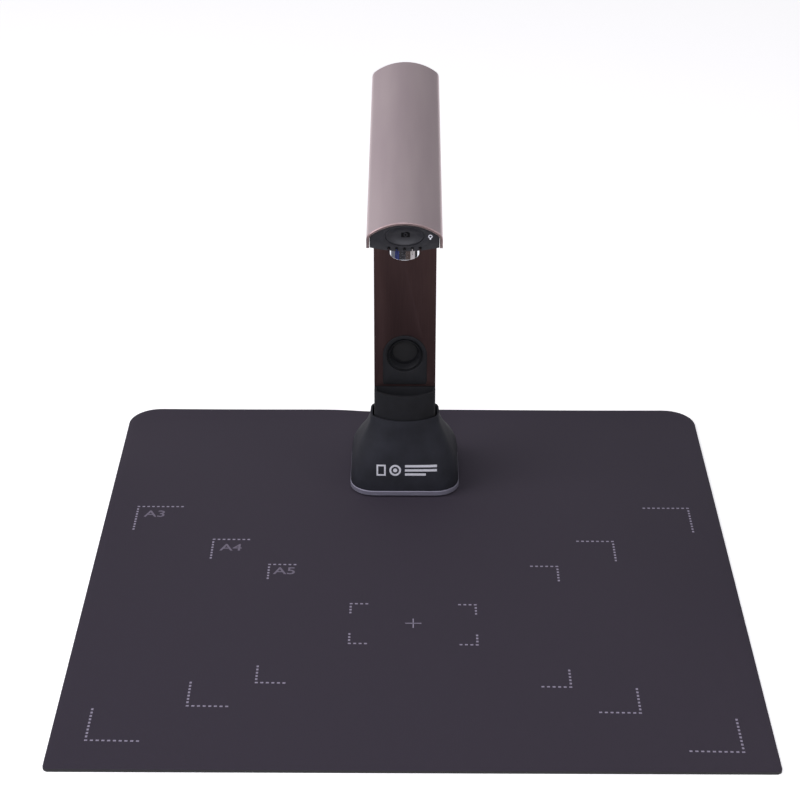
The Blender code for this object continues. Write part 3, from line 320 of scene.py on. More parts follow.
# %% Zinc, brass, powder coat and rubber
zinc = surface_finish("zinc_plated_steel", ("b4b8be", "cdd0d4"), (0.24, 0.40), tint=(1.2 * MM, 3, EVEN), Metallic=1.0)
brass = surface_finish(
    "turned_brass", ("b08d48", "c8a55c"), (0.25, 0.40), tint=(0.3 * MM, 2, (1, 30, 30)), Metallic=1.0
)
powder_coat = surface_finish(
    "black_powder_coated_zinc",
    ("232325", "2b2b2e"),
    (0.42, 0.55),
    tint=(0.8 * MM, 1, EVEN),
    relief=0.03 * MM,
    Metallic=0.0,
    IOR=1.5,
)
rubber = surface_finish(
    "moulded_black_rubber", ("1c1c1d", "272728"), (0.72, 0.88), tint=(1.5 * MM, 3, EVEN), Metallic=0.0, IOR=1.52
)

# %% [markdown]
# ## Circuit boards
#
# The boards are glass-epoxy under a green solder mask, where copper tracks show as paler lines. A brick
# pattern draws them, because its mortar makes thin crossing lines: its bricks are 5 mm long and 2.5 mm high.

# %% Solder mask
PATTERN_UNIT = 10 * MM
solder_mask = surface_finish(
    "green_solder_mask_on_epoxy", None, (0.30, 0.45), tint=(1 * MM, 2, EVEN), Metallic=0.0, IOR=1.55
)
tracks = {"Vector": add(solder_mask, "TexCoord").outputs["Object"], "Scale": 1 / PATTERN_UNIT, "Mortar Size": 0.04}
tracks |= {"Color1": linear("0f4a2c"), "Color2": linear("125433"), "Mortar": linear("3c8a5a")}
join(solder_mask, add(solder_mask, "TexBrick", tracks).outputs["Color"], "Base Color")
print("one board pattern every", PATTERN_UNIT / MM, "mm")

# %% [markdown]
# ## Glass and frosted plastic
#
# The lens is coated glass, IOR 1.52. Its coating gives a green and violet sheen, which the shader's thin
# film makes from its real thickness of about 480 nanometres. The lamp windows are opal polycarbonate,
# IOR 1.58, in which light scatters for about a millimetre, so they look soft instead of painted.

# %% Lens glass and opal polycarbonate
lens_glass = surface_finish(
    "coated_lens_glass",
    ("c4cbe6", "d6dcf0"),
    (0.01, 0.05),
    tint=(3 * MM, 3, EVEN),
    IOR=1.52,
    Transmission_Weight=0.9,
    Thin_Film_Thickness=480.0,
    Thin_Film_IOR=1.38,
)
opal = surface_finish(
    "opal_polycarbonate",
    ("d8d8d2", "e6e6e0"),
    (0.35, 0.48),
    tint=(2 * MM, 2, EVEN),
    IOR=1.58,
    Subsurface_Weight=0.4,
    Subsurface_Radius=(1 * MM, 1 * MM, 1 * MM),
    Subsurface_Scale=1.0,
)

# %% [markdown]
# ## Knitted cloth
#
# The mat is a knitted polyester face bonded to black rubber, as on a mouse mat. The knit's loops are 0.35
# mm apart, too fine to show, so they are drawn at 0.9 mm as two crossing waves. Yarns of slightly
# different shade make a melange, and fibres that stand up catch the light at low angles, which the
# shader's sheen gives.

# %% Knitted polyester face
LOOP = 0.9 * MM
WAVE_UNIT = 0.314
knit = surface_finish(
    "knitted_polyester_face",
    ("2b2530", "352e3c"),
    (0.74, 0.90),
    tint=(1.1 * MM, 3, EVEN),
    ends=(0.25, 0.75),
    IOR=1.45,
    Sheen_Weight=0.05,
    Sheen_Roughness=0.5,
)
wave = {"Vector": add(knit, "TexCoord").outputs["Object"], "Scale": WAVE_UNIT / LOOP}
loops = [add(knit, "TexWave", wave, bands_direction=way).outputs["Fac"] for way in ("X", "Y")]
crossed = add(knit, "Math", {0: loops[0], 1: loops[1]}, operation="MULTIPLY").outputs["Value"]
knit_bump = add(knit, "Bump", {"Height": crossed, "Distance": 0.05 * MM, "Strength": 1.0})
join(knit, knit_bump.outputs["Normal"], "Normal")
print("loops drawn", round(LOOP / MM, 1), "mm apart")

# %% [markdown]
# ## Printed inks
#
# The marks on the mat are screen-printed ink that sinks into the knit and leaves it speckled. The paper
# sizes are thinner type and have taken less ink. The marks on the plastic are pad printed: a soft pad lifts
# the ink off a plate and presses it on, in a film that is even and opaque, white or matt black.

# %% Inks
ink = surface_finish("screen_printed_ink", ("7c7688", "a49eb0"), (0.60, 0.78), tint=(0.7 * MM, 3, EVEN), IOR=1.5)
ink_worn = surface_finish(
    "worn_screen_printed_ink", ("5d5765", "7f7888"), (0.65, 0.80), tint=(0.7 * MM, 3, EVEN), IOR=1.5
)
pad_print = surface_finish("white_pad_print", ("c9cad2", "dcdde4"), (0.45, 0.60), tint=(0.6 * MM, 2, EVEN), IOR=1.5)
# The same matt black is also laid round the holes in the end plate as painted shade.
black_print_and_painted_shade = surface_finish(
    "matt_black_print_and_painted_shade",
    ("070708", "0c0c0e"),
    (0.75, 0.85),
    tint=(0.5 * MM, 2, EVEN),
    IOR=1.5,
    Specular_IOR_Level=0.1,
)

# %% [markdown]
# ## Helpers that make pieces
#
# `new_piece` puts a mesh on the body that it moves with, and hides the solid nodes that it stands for.
#
# `refined` starts from a node whose shape is already right. It copies the mesh, welds it, rounds the hard
# edges by a fraction of a millimetre and shades the rest smooth. No real edge is perfectly sharp, and
# that thin bright line along an edge is much of what makes a render look like an object.

# %% Piece helpers
slot_of = {entry["node"]: entry["material_slot"] for entry in frame["record"]["subparts"]}
WELD = 0.002 * MM
FLAT_WITHIN = math.radians(0.5)


def new_piece(name, mesh, material, body, place=Matrix(), instead_of=()):
    """A mesh as an object that rides on a body, and stands for its CAD nodes."""
    piece = bpy.data.objects.new(name, mesh)
    bpy.context.scene.collection.objects.link(piece)
    if material is not None:
        mesh.materials.append(material)
    piece.matrix_world = place
    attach(piece, body)
    if instead_of:
        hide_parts(*instead_of)
    return piece


def apply_modifiers(piece):
    """Turns a piece's modifiers into its mesh."""
    graph = bpy.context.evaluated_depsgraph_get()
    mesh = bpy.data.meshes.new_from_object(piece.evaluated_get(graph))
    piece.modifiers.clear()
    piece.data = mesh


def smooth(mesh, angle=35):
    mesh.shade_smooth()
    mesh.set_sharp_from_angle(angle=math.radians(angle))


def refined(node, name, material, edge=0.15 * MM, angle=35, segments=2):
    """A node's shape with its vertices welded, its edges rounded and its curves shaded smooth."""
    source = nodes[node]
    solid = bmesh.new()
    solid.from_mesh(source.data)
    bmesh.ops.remove_doubles(solid, verts=solid.verts, dist=WELD)
    bmesh.ops.dissolve_limit(solid, angle_limit=FLAT_WITHIN, verts=solid.verts, edges=solid.edges)
    mesh = bpy.data.meshes.new(name)
    solid.to_mesh(mesh)
    solid.free()
    piece = new_piece(name, mesh, material, source["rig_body"], instead_of=(node,))
    if edge:
        bevel = piece.modifiers.new("edges", "BEVEL")
        bevel.width = edge
        bevel.segments = segments
        bevel.limit_method = "ANGLE"
        bevel.angle_limit = math.radians(angle)
        bevel.use_clamp_overlap = True
        apply_modifiers(piece)
    smooth(piece.data, angle)
    return piece


print("slots:", len(set(slot_of.values())))

# %% [markdown]
# ## Surfaces from rings
#
# Everything lofted, turned or extruded is a row of rings with the same number of points. `skin` joins them
# with four-sided faces, which shade evenly, and caps the ends. Subdivision would be an alternative, but it
# moves the points, and these have to stay on measured places.

# %% Skin through rings


def skin(rings, closed_rings=True, cap_start=False, cap_end=False):
    """A bmesh through rings of equal length, with flat caps where they are asked for."""
    solid = bmesh.new()
    loops = [[solid.verts.new(point) for point in ring] for ring in rings]
    count = len(loops[0])
    last = count if closed_rings else count - 1
    for lower, upper in zip(loops, loops[1:]):
        for i in range(last):
            after = (i + 1) % count
            solid.faces.new((lower[i], lower[after], upper[after], upper[i]))
    if cap_start:
        solid.faces.new(loops[0][::-1])
    if cap_end:
        solid.faces.new(loops[-1])
    bmesh.ops.recalc_face_normals(solid, faces=solid.faces)
    return solid


def to_mesh(solid, name, angle=35):
    mesh = bpy.data.meshes.new(name)
    solid.to_mesh(mesh)
    solid.free()
    smooth(mesh, angle)
    return mesh


def circle(radius, steps):
    """Points (x, y) round a circle."""
    turns = [2 * math.pi * i / steps for i in range(steps)]
    return [(radius * math.cos(t), radius * math.sin(t)) for t in turns]


print("a ring of 4:", [(round(x, 2), round(y, 2)) for x, y in circle(1, 4)])

# %% [markdown]
# ## The mat's shape
#
# The mat is one sheet with rounded corners. It could be a scaled plane, but a real one never lies quite
# flat: its free back edge curls up by a couple of millimetres, except where the heavy stand presses on
# it. So it is a grid of rows that narrow at the corners, and each of its points is moved.

# %% Outline and curl of the mat
MAT_WIDTH = mat_high.x - mat_low.x
MAT_LENGTH = mat_high.y - mat_low.y
MAT_THICKNESS = mat_high.z - mat_low.z
BACK_RADIUS = 25 * MM
FRONT_RADIUS = 4 * MM
MAT_COLUMNS = 72
MAT_ROWS = 46
EDGE_BAND = 40 * MM
EDGE_LIFT = 2.0 * MM
EDGE_DRAWN_IN = 3.2 * MM
PRESSED_AT = -30 * MM
PRESSED_WIDTH = 24 * MM
EDGE_WAVE = 45 * MM


def mat_rows():
    """Row positions from front to back, closer together where the corners curve."""
    quarter = [math.sin(math.radians(9 * i)) for i in range(11)]
    front = [-MAT_LENGTH / 2 + FRONT_RADIUS * (1 - s) for s in quarter[::-1]]
    back = [MAT_LENGTH / 2 - BACK_RADIUS * (1 - s) for s in quarter]
    start, end = front[-1], back[0]
    middle = [start + (end - start) * i / MAT_ROWS for i in range(1, MAT_ROWS)]
    return front + middle + back


def mat_half_width(y):
    radius = BACK_RADIUS if y > 0 else FRONT_RADIUS
    over = max(abs(y) - (MAT_LENGTH / 2 - radius), 0)
    return MAT_WIDTH / 2 - radius + math.sqrt(max(radius**2 - over**2, 0))


def mat_point(x, y):
    """Curls the free back edge up and so forwards, but not where the stand presses on the mat."""
    share = min(max((y - MAT_LENGTH / 2 + EDGE_BAND) / EDGE_BAND, 0), 1) ** 2
    free = 1 - math.exp(-(((x - PRESSED_AT) / PRESSED_WIDTH) ** 2))
    lift = EDGE_LIFT * share * free * (0.9 + 0.1 * math.cos(x / EDGE_WAVE))
    return (x, y - EDGE_DRAWN_IN * share, mat_high.z + lift)


print("half width at the back edge", round(mat_half_width(MAT_LENGTH / 2) / MM, 1), "mm")

# %% [markdown]
# ## The mat as a sheet
#
# The rows become the knitted face. A Solidify modifier then gives the sheet its 2 mm, with rubber for its
# second material, underneath and round the rim, and a small bevel takes the sharpness off the cut edge.

# %% The mat
rows = []
for y in mat_rows():
    half = mat_half_width(y)
    xs = [half * (2 * i / MAT_COLUMNS - 1) for i in range(MAT_COLUMNS + 1)]
    rows.append([mat_point(x, y) for x in xs])
mat_sheet = new_piece(
    "mat_sheet",
    to_mesh(skin(rows, closed_rings=False), "mat_sheet"),
    knit,
    "root",
    instead_of=("mat",),
)
if mat_sheet.data.polygons[0].normal.z < 0:
    mat_sheet.data.flip_normals()
mat_sheet.data.materials.append(rubber)
thickness = mat_sheet.modifiers.new("rubber", "SOLIDIFY")
thickness.thickness = MAT_THICKNESS
thickness.offset = -1
thickness.material_offset = 1
thickness.material_offset_rim = 1
edge = mat_sheet.modifiers.new("edge", "BEVEL")
edge.width = 0.3 * MM
edge.segments = 2
edge.limit_method = "ANGLE"
edge.angle_limit = math.radians(50)
apply_modifiers(mat_sheet)
smooth(mat_sheet.data, 40)
print("mat", round(MAT_WIDTH / MM), "x", round(MAT_LENGTH / MM), "mm,", len(rows), "rows")

# %% [markdown]
# ## The printed marks
#
# Corner marks show where A3, A4 and A5 paper goes, and a small frame and a cross mark the middle of the
# view. A texture could carry them, but real dashes stay sharp from close by. They are drawn from the
# paper's own sizes: each arm is a row of 2 mm dashes, 3.7 mm apart, in a film of ink 0.03 mm thick. The
# print sits a little out of true on the mat, as screen prints do.

# %% Sizes of the marks
MARK_X = 0.8 * MM
DASH = 2.0 * MM
DASH_WIDTH = 1.5 * MM
DASH_PITCH = 3.7 * MM
INK_FILM = 0.03 * MM
MARKED_SHEETS = (
    ("A3", 420.0, 297.0, -66.8, 10),
    ("A4", 297.0, 210.0, -71.2, 8),
    ("A5", 210.0, 148.0, -74.9, 6),
    ("", 88.3, 49.4, -76.7, 4),
)
CROSS_Y = -75.9 * MM
CROSS_ARM = 11.4 * MM
CROSS_LINE = 0.8 * MM
SKEW = 0.0233
SKEW_FROM = 81 * MM
SKEW_LENGTH = 296 * MM
print("marked:", [sheet[0] or "middle" for sheet in MARKED_SHEETS])

# %% [markdown]
# Each dash is a thin box, so that the film has an edge that catches light. A corner's two rows share their
# first dash, and all of them go into one mesh, because nobody needs to pick a single dash.

# %% Dashes and cross


def askew(x, y):
    """The screen leans more and more towards the front of the mat, so the print is a little out of true."""
    return y - SKEW * (SKEW_FROM - y) / SKEW_LENGTH * x


def ink_bar(solid, x, y, width, depth):
    """One flat bar of ink on the mat."""
    at = (x, askew(x, y), mat_high.z + INK_FILM / 4)
    place = Matrix.Translation(at) @ Matrix.Diagonal((width, depth, INK_FILM, 1))
    bmesh.ops.create_cube(solid, size=1.0, matrix=place)


def corner_mark(solid, x, y, side, end, dashes):
    """Two rows of dashes that meet at a corner and run inwards from it."""
    for i in range(dashes):
        step = i * DASH_PITCH + DASH / 2
        ink_bar(solid, x - side * step, y - end * DASH_WIDTH / 2, DASH, DASH_WIDTH)
        if i > 0:
            ink_bar(solid, x - side * DASH_WIDTH / 2, y - end * step, DASH_WIDTH, DASH)


solid = bmesh.new()
for _, width, depth, middle_y, dashes in MARKED_SHEETS:
    for side in (-1, 1):
        for end in (-1, 1):
            corner_x = MARK_X + side * (width * MM + DASH_WIDTH) / 2
            corner_y = middle_y * MM + end * (depth * MM + DASH_WIDTH) / 2
            corner_mark(solid, corner_x, corner_y, side, end, dashes)
ink_bar(solid, MARK_X, CROSS_Y, CROSS_ARM, CROSS_LINE)
ink_bar(solid, MARK_X, CROSS_Y, CROSS_LINE, CROSS_ARM)
marks = new_piece("mat_marks", to_mesh(solid, "mat_marks"), ink, "root")
print("printed", len(marks.data.polygons) // 6, "dashes and lines")

# %% [markdown]
# ## The paper sizes
#
# The sizes' names are plain type beside the far left corners. A text curve is the simplest way to type:
# it is extruded to the film's thickness, made a little bolder and wider, and turned into a mesh.

# %% Paper sizes
LABEL_SIZE = 13.0 * MM
LABEL_WIDER = 1.08
LABEL_RIGHT = {"A3": 5.6 * MM, "A4": 5.6 * MM, "A5": 3.5 * MM}
LABEL_DOWN = {"A3": 15.0 * MM, "A4": 15.0 * MM, "A5": 12.2 * MM}
LABEL_BOLD = 0.12 * MM
for word, width, depth, middle_y, _ in MARKED_SHEETS[:3]:
    type_curve = bpy.data.curves.new("label_" + word, "FONT")
    type_curve.body = word
    type_curve.size = LABEL_SIZE
    type_curve.extrude = INK_FILM / 2
    type_curve.offset = LABEL_BOLD
    type_curve.resolution_u = 6
    letters = bpy.data.objects.new("type", type_curve)
    bpy.context.scene.collection.objects.link(letters)
    graph = bpy.context.evaluated_depsgraph_get()
    mesh = bpy.data.meshes.new_from_object(letters.evaluated_get(graph))
    bpy.data.objects.remove(letters)
    label_x = MARK_X - width / 2 * MM + LABEL_RIGHT[word]
    at = (label_x, (middle_y + depth / 2) * MM - LABEL_DOWN[word], mat_high.z)
    mesh.transform(Matrix.Translation(at) @ Matrix.Diagonal((LABEL_WIDER, 1, 1, 1)))
    new_piece("label_" + word.lower(), mesh, ink_worn, "root")
print("labels", round(LABEL_SIZE / MM), "mm high")

# %% [markdown]
# ## The stand
#
# The base's shell, the neck, the arm and the strip have the right shape already, so they are refined
# instead of drawn again: moulded parts get edges of about half a millimetre, and the extruded arm a
# crisper one. The strip's edges are rounded in the solid itself.

# %% Base, neck, arm and strip
base_shell = refined("base_housing", "base_shell", soft_touch, edge=0.6 * MM, angle=42, segments=3)
neck = refined("neck", "neck_sleeve", bare_abs, edge=0.5 * MM, angle=42, segments=3)
arm = refined("arm_tube", "arm_extrusion", brown, edge=0.3 * MM, angle=50)
strip = refined("base_plate", "base_strip", satin, edge=0.0, angle=30)
print("faces:", {piece.name: len(piece.data.polygons) for piece in (base_shell, neck, arm, strip)})

# %% [markdown]
# ## The lens pocket
#
# When the head is folded down, the lens goes into a pocket in the arm. It is a plate with an arched top,
# and its bowl is turned: a groove runs round the mouth, then a ledge slopes in to the floor, where there
# is a rubber pad. Rings of 96 points carry the arched outline over into the circles, so that the plate,
# the bowl and the cup behind it make one closed surface.

# %% Outline of the plate and its bowl
pocket_low, pocket_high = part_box("lens_pocket")
POCKET_RING = (pocket_high.x - pocket_low.x) / 2
POCKET_Z = pocket_high.z - POCKET_RING
POCKET_STEPS = 96
PLATE_THICKNESS = 0.6 * MM


def plate_outline(inset, depth):
    """The arched outline as a ring, drawn in by inset; its points lie on rays from the bowl's middle."""
    half, foot = POCKET_RING - inset, POCKET_Z - pocket_low.z - inset
    corner = math.atan2(foot, half)
    ring = []
    for i in range(POCKET_STEPS):
        turn = 2 * math.pi * i / POCKET_STEPS
        x, z = math.cos(turn), math.sin(turn)
        if z >= 0:
            reach = half
        elif abs(math.atan2(-z, abs(x))) < corner:
            reach = half / abs(x)
        else:
            reach = foot / -z
        ring.append((STAND_X + reach * x, pocket_low.y + depth, POCKET_Z + reach * z))
    return ring


def bowl_ring(radius, depth):
    """A circle about the bowl's middle, at a depth behind the plate's front."""
    return [(STAND_X + x, pocket_low.y + depth, POCKET_Z + z) for x, z in circle(radius, POCKET_STEPS)]


print("pocket ring", round(POCKET_RING / MM, 1), "mm, middle at height", round(POCKET_Z / MM, 1), "mm")

# %% [markdown]
# The bowl's section is a short list of (radius, depth) in millimetres, from the mouth inwards: a rounded
# rim, the groove, the ledge, the wall and the floor. The cup behind the plate closes it from the back.

# %% Pocket moulding
BOWL = ((14.3, 0.0), (13.9, 0.12), (13.7, 0.5), (13.6, 2.6), (12.5, 2.8), (12.2, 1.2), (11.9, 1.05))
BOWL += ((10.9, 3.0), (10.7, 6.0), (10.5, 6.3), (10.5, 9.6))
CUP = ((14.9, PLATE_THICKNESS / MM), (14.9, 1.2), (11.7, 10.8))
PLATE_EDGE = ((0.35, 0.0), (0.1, 0.08), (0.0, 0.3), (0.0, PLATE_THICKNESS / MM))
rings_made = [bowl_ring(radius * MM, depth * MM) for radius, depth in BOWL[::-1]]
rings_made += [plate_outline(inset * MM, depth * MM) for inset, depth in PLATE_EDGE]
rings_made += [bowl_ring(radius * MM, depth * MM) for radius, depth in CUP]
solid = skin(rings_made, cap_start=True, cap_end=True)
mesh = to_mesh(solid, "pocket_moulding", 32)
new_piece("pocket_moulding", mesh, bare_abs, "root", instead_of=("lens_pocket",))
print("pocket", len(mesh.polygons), "faces")

# %% [markdown]
# ## The mark on the base
#
# Small equipment carries a printed mark on its front. This one is made up: an outlined page, a lens ring
# with its dot, and three lines of text as bars. It is drawn flat in front of the base, cut into
# small faces, and each point is then pushed back until it lies on the curved shell.

# %% Flat drawings that are laid on a surface
START_BEFORE = 0.3


def flat_ring(solid, x, z, outer, inner, steps=40):
    """A ring of faces in the upright plane."""
    rims = [
        [solid.verts.new((x + across, 0, z + up)) for across, up in circle(radius, steps)]
        for radius in (outer, inner)
    ]
    for i in range(steps):
        after = (i + 1) % steps
        solid.faces.new((rims[0][i], rims[0][after], rims[1][after], rims[1][i]))


def flat_bar(solid, x, z, width, height, cell=0.8 * MM):
    """A bar of small faces in the upright plane."""
    columns, lines = max(1, round(width / cell)), max(1, round(height / cell))
    grid = [
        [
            solid.verts.new((x + width * (i / columns - 0.5), 0, z + height * (line / lines - 0.5)))
            for i in range(columns + 1)
        ]
        for line in range(lines + 1)
    ]
    for lower, upper in zip(grid, grid[1:]):
        for i in range(columns):
            solid.faces.new((lower[i], lower[i + 1], upper[i + 1], upper[i]))


def lay_on(solid, target, way, proud):
    """Moves each point along a direction until it lies just proud of a target surface."""
    graph = bpy.context.evaluated_depsgraph_get()
    tree = BVHTree.FromObject(target, graph)
    inverse = target.matrix_world.inverted()
    for vertex in solid.verts:
        start = inverse @ (vertex.co - way * START_BEFORE)
        hit, _, _, _ = tree.ray_cast(start, inverse.to_3x3() @ way)
        if hit is not None:
            vertex.co = target.matrix_world @ hit - way * proud


def give_body(solid, depth):
    """Turns laid faces into a thin closed film, by adding a back to them."""
    bmesh.ops.recalc_face_normals(solid, faces=solid.faces)
    bmesh.ops.solidify(solid, geom=solid.faces[:], thickness=depth)


print("drawings start", START_BEFORE, "m in front of their surface")

# %% [markdown]
# The page is four bars round an opening, the lens a ring and a dot, and the text three bars, the last one
# shorter as the end of a paragraph is.

# %% Pictogram on the base
MARK_X_MIDDLE = STAND_X + 1.6 * MM
MARK_Z = 25.0 * MM
MARK_PROUD = 0.03 * MM
PAGE_X = MARK_X_MIDDLE - 19.6 * MM
RING_X = MARK_X_MIDDLE - 8.8 * MM
TEXT_X = MARK_X_MIDDLE - 1.3 * MM
TEXT_LINES = ((3.4, 24.5), (0.0, 24.5), (-3.4, 16.0))

solid = bmesh.new()
for offset in (-2.9, 2.9):
    flat_bar(solid, PAGE_X + offset * MM, MARK_Z, 1.3 * MM, 9.0 * MM)
for offset in (-3.85, 3.85):
    flat_bar(solid, PAGE_X, MARK_Z + offset * MM, 4.5 * MM, 1.3 * MM)
flat_ring(solid, RING_X, MARK_Z, 4.5 * MM, 3.0 * MM)
flat_ring(solid, RING_X, MARK_Z, 1.6 * MM, 0.05 * MM, 24)
for row, length in TEXT_LINES:
    flat_bar(solid, TEXT_X + length * MM / 2, MARK_Z + row * MM, length * MM, 1.9 * MM)
lay_on(solid, base_shell, Vector((0, 1, 0)), MARK_PROUD)
give_body(solid, MARK_PROUD * 0.8)
new_piece("base_pictogram", to_mesh(solid, "base_pictogram"), pad_print, "root")
print("pictogram at height", round(MARK_Z / MM, 1), "mm")

# %% [markdown]
# ## The head's outline
#
# The shell is an arched extrusion with a wall of 1.8 mm. Its outline is two arcs, a wide crown and a
# small shoulder each side, which touch without a kink: the line through their centres is where they meet.
# A smaller copy of both makes the inside.

# %% Arched outline
HEAD_WIDTH = 47.8 * MM
HEAD_HEIGHT = 18.1 * MM
CROWN_RADIUS = 34.8 * MM
SHOULDER = 6.0 * MM
SHELL_WALL = 1.8 * MM
SHELL_FRONT = -218.1 * MM
SHELL_REAR = 17.0 * MM
LOWER_EDGE = 3.1 * MM
CHAMFER = 0.45 * MM


def arch(inset, crown_steps=40, shoulder_steps=10):
    """The arched side from right to left, drawn in by inset, above the shell's lower edges."""
    corner_x = HEAD_WIDTH / 2 - SHOULDER
    crown_y = HEAD_HEIGHT - CROWN_RADIUS
    corner_y = crown_y + math.sqrt((CROWN_RADIUS - SHOULDER) ** 2 - corner_x**2)
    meet = math.atan2(corner_y - crown_y, corner_x)
    points = []
    for i in range(shoulder_steps + 1):
        turn = meet * i / shoulder_steps
        reach = SHOULDER - inset
        points.append((corner_x + reach * math.cos(turn), corner_y + reach * math.sin(turn)))
    for i in range(1, crown_steps):
        turn = meet + (math.pi - 2 * meet) * i / crown_steps
        reach = CROWN_RADIUS - inset
        points.append((reach * math.cos(turn), crown_y + reach * math.sin(turn)))
    return points + [(-x, y) for x, y in points[: shoulder_steps + 1][::-1]]


print("outline of", len(arch(0)), "points")

# %% [markdown]
# ## The head's shell
#
# A curve with a bevel profile could extrude the outline, but rings give control over the ends: drawn in a
# little at both, they make a chamfer, and the faces of the front one get the bright diamond-cut metal as
# the shell's second material.

# %% Shell


def shell_ring(y, chamfer):
    """The shell's whole section at y: its outside from right to left, then its inside back again."""
    outside = arch(chamfer)
    inside = arch(SHELL_WALL - chamfer / 2)
    low = chamfer / 2
    outside = [(outside[0][0], low), *outside, (outside[-1][0], low)]
    inside = [(inside[0][0], low), *inside, (inside[-1][0], low)]
    return [(x, y, LOWER_EDGE + z) for x, z in outside + inside[::-1]]


stations = [(SHELL_FRONT, CHAMFER), (SHELL_FRONT + CHAMFER, 0.0)]
stations += [(SHELL_REAR - CHAMFER, 0.0), (SHELL_REAR, CHAMFER)]
rings_made = [shell_ring(y, chamfer) for y, chamfer in stations]
solid = skin(rings_made)
solid.verts.ensure_lookup_table()
half_count = len(rings_made[0]) // 2
for ring in (0, len(stations) - 1):
    first = ring * 2 * half_count
    last = first + 2 * half_count - 1
    for i in range(half_count - 1):
        corners = (first + i, first + i + 1, last - 1 - i, last - i)
        solid.faces.new([solid.verts[c] for c in corners])
bmesh.ops.recalc_face_normals(solid, faces=solid.faces)
shell = new_piece(
    "head_extrusion",
    to_mesh(solid, "head_extrusion", 20),
    champagne,
    "head",
    HEAD_PLACE,
    instead_of=("head_shell",),
)
shell.data.materials.append(cut_edge)
for face in shell.data.polygons:
    face.material_index = int(face.center.y < SHELL_FRONT + CHAMFER * 0.9)
print("shell", len(shell.data.polygons), "faces,", round((SHELL_REAR - SHELL_FRONT) / MM, 1), "mm long")

# %% [markdown]
# ## The head's ends and underside
#
# The end plate closes the arch and holds the oval capture key. The plate, the rear cap and the crowned
# underside keep the solid model's shape, with edges softened by a tenth of a millimetre or two, because
# moulded parts this small have no larger radius.

# %% End plate, rear cap and underside
end_plate = refined("head_end_plate", "end_plate", black_abs, edge=0.12 * MM, angle=40)
rear_cap = refined("head_rear_cap", "rear_cap", black_abs, edge=0.2 * MM, angle=40)
underside = refined("head_underside", "underside_cover", black_abs, edge=0.15 * MM, angle=40)
print("end pieces:", end_plate.name, rear_cap.name, underside.name)

# %% [markdown]
# ## The capture key
#
# The key is the piece that a finger meets, and its dish fits a fingertip. It gets its own surface instead
# of a cut-out ball: ellipses step in from its rounded rim and down a smooth curve, steep at first and flat
# in the middle. Behind the plate a flange keeps the key from falling out.

# %% Oval key with a finger dish
KEY_HALF_WIDTH = 12.05 * MM
KEY_HALF_HEIGHT = 7.0 * MM
KEY_MIDDLE = 8.3 * MM
KEY_FRONT = -216.9 * MM
KEY_BACK = -214.0 * MM
KEY_DISH = 2.4 * MM
KEY_RIM = 0.35 * MM
KEY_FLANGE = 1.7 * MM
KEY_FLANGE_THICKNESS = 0.6 * MM
KEY_STEPS = 96
KEY_RINGS = 14


def oval(inset, y, wider=0.0):
    """An ellipse of the key's outline, drawn in by inset, at y."""
    half_width, half_height = KEY_HALF_WIDTH - inset + wider, KEY_HALF_HEIGHT - inset
    middle_z = LOWER_EDGE + KEY_MIDDLE
    return [(half_width * x, y, middle_z + half_height * z) for x, z in circle(1, KEY_STEPS)]


rings_made = []
for i in range(1, KEY_RINGS + 1):
    share = i / KEY_RINGS
    inset = (KEY_HALF_HEIGHT - KEY_RIM) * (1 - share) * 0.98 + KEY_RIM
    rings_made.append(oval(inset, KEY_FRONT + KEY_DISH * (1 - share**2) ** 1.15))
rings_made += [oval(KEY_RIM * 0.5, KEY_FRONT + 0.03 * MM), oval(KEY_RIM * 0.15, KEY_FRONT + 0.12 * MM)]
flange_y = KEY_BACK - KEY_FLANGE_THICKNESS
rings_made += [oval(0, KEY_FRONT + KEY_RIM), oval(0, flange_y)]
rings_made += [oval(0, flange_y, KEY_FLANGE), oval(0, KEY_BACK, KEY_FLANGE)]
mesh = to_mesh(skin(rings_made, cap_start=True, cap_end=True), "key_oval", 40)
key = new_piece("key_oval", mesh, black_abs, "capture_key", HEAD_PLACE, ("capture_key",))
print("key dish", round(KEY_DISH / MM, 1), "mm deep")

# %% [markdown]
# ## Painted shade behind the holes
#
# Five small holes at the lower edge of the plate let sound in to a microphone. A near-black strip behind
# them is painted shade: it darkens the holes as the shade inside them would, and makes them look black. A
# strip is enough: it follows the crowned edge, which is a parabola.

# %% Painted shade behind the five holes
CROWN_DROP = 2.7 * MM
CROWN_HALF = 21.8 * MM
SHADE_SHEET_FRONT = -214.82 * MM
SHADE_SHEET_HALF = 11.6 * MM
SHADE_SHEET_STEPS = 24
SHADE_SHEET_SECTION = ((0.0, 0.1), (0.0, 2.75), (0.1, 2.75), (0.1, 0.1))
hole_shade = surface_finish("painted_shade_behind_holes", ("060607", "0c0c0d"), (0.85, 0.95), tint=(0.3 * MM, 1, EVEN), IOR=1.5)


def crowned_edge(x):
    """Height of the cover's lower edge, which sags most in the middle."""
    return LOWER_EDGE - CROWN_DROP * (1 - (x / CROWN_HALF) ** 2)


xs = [SHADE_SHEET_HALF * (2 * i / SHADE_SHEET_STEPS - 1) for i in range(SHADE_SHEET_STEPS + 1)]
rings_made = [[(x, SHADE_SHEET_FRONT + y * MM, crowned_edge(x) + z * MM) for y, z in SHADE_SHEET_SECTION] for x in xs]
solid = skin(rings_made, cap_start=True, cap_end=True)
new_piece("hole_painted_shade", to_mesh(solid, "hole_painted_shade"), hole_shade, "head", HEAD_PLACE)
print("hole_shade", round(2 * SHADE_SHEET_HALF / MM, 1), "mm wide")

# %% [markdown]
# ## Pictograms on the head
#
# Two pictograms tell what to touch: a dark camera in the dish, and a white bulb where a touch lights the
# lamps. They are drawn flat in the level head's own measures, moved to where the head is, and then laid
# on their surfaces in the same way as the mark on the base. A dark ring round each hole is painted shade:
# it darkens the rim that lies in shade.

# %% Bulb on the end plate
PLATE_WAY = (HEAD_PLACE.to_3x3() @ Vector((0, 1, 0))).normalized()
DRAWN_AT = Vector((0, SHELL_FRONT - 5 * MM, LOWER_EDGE))


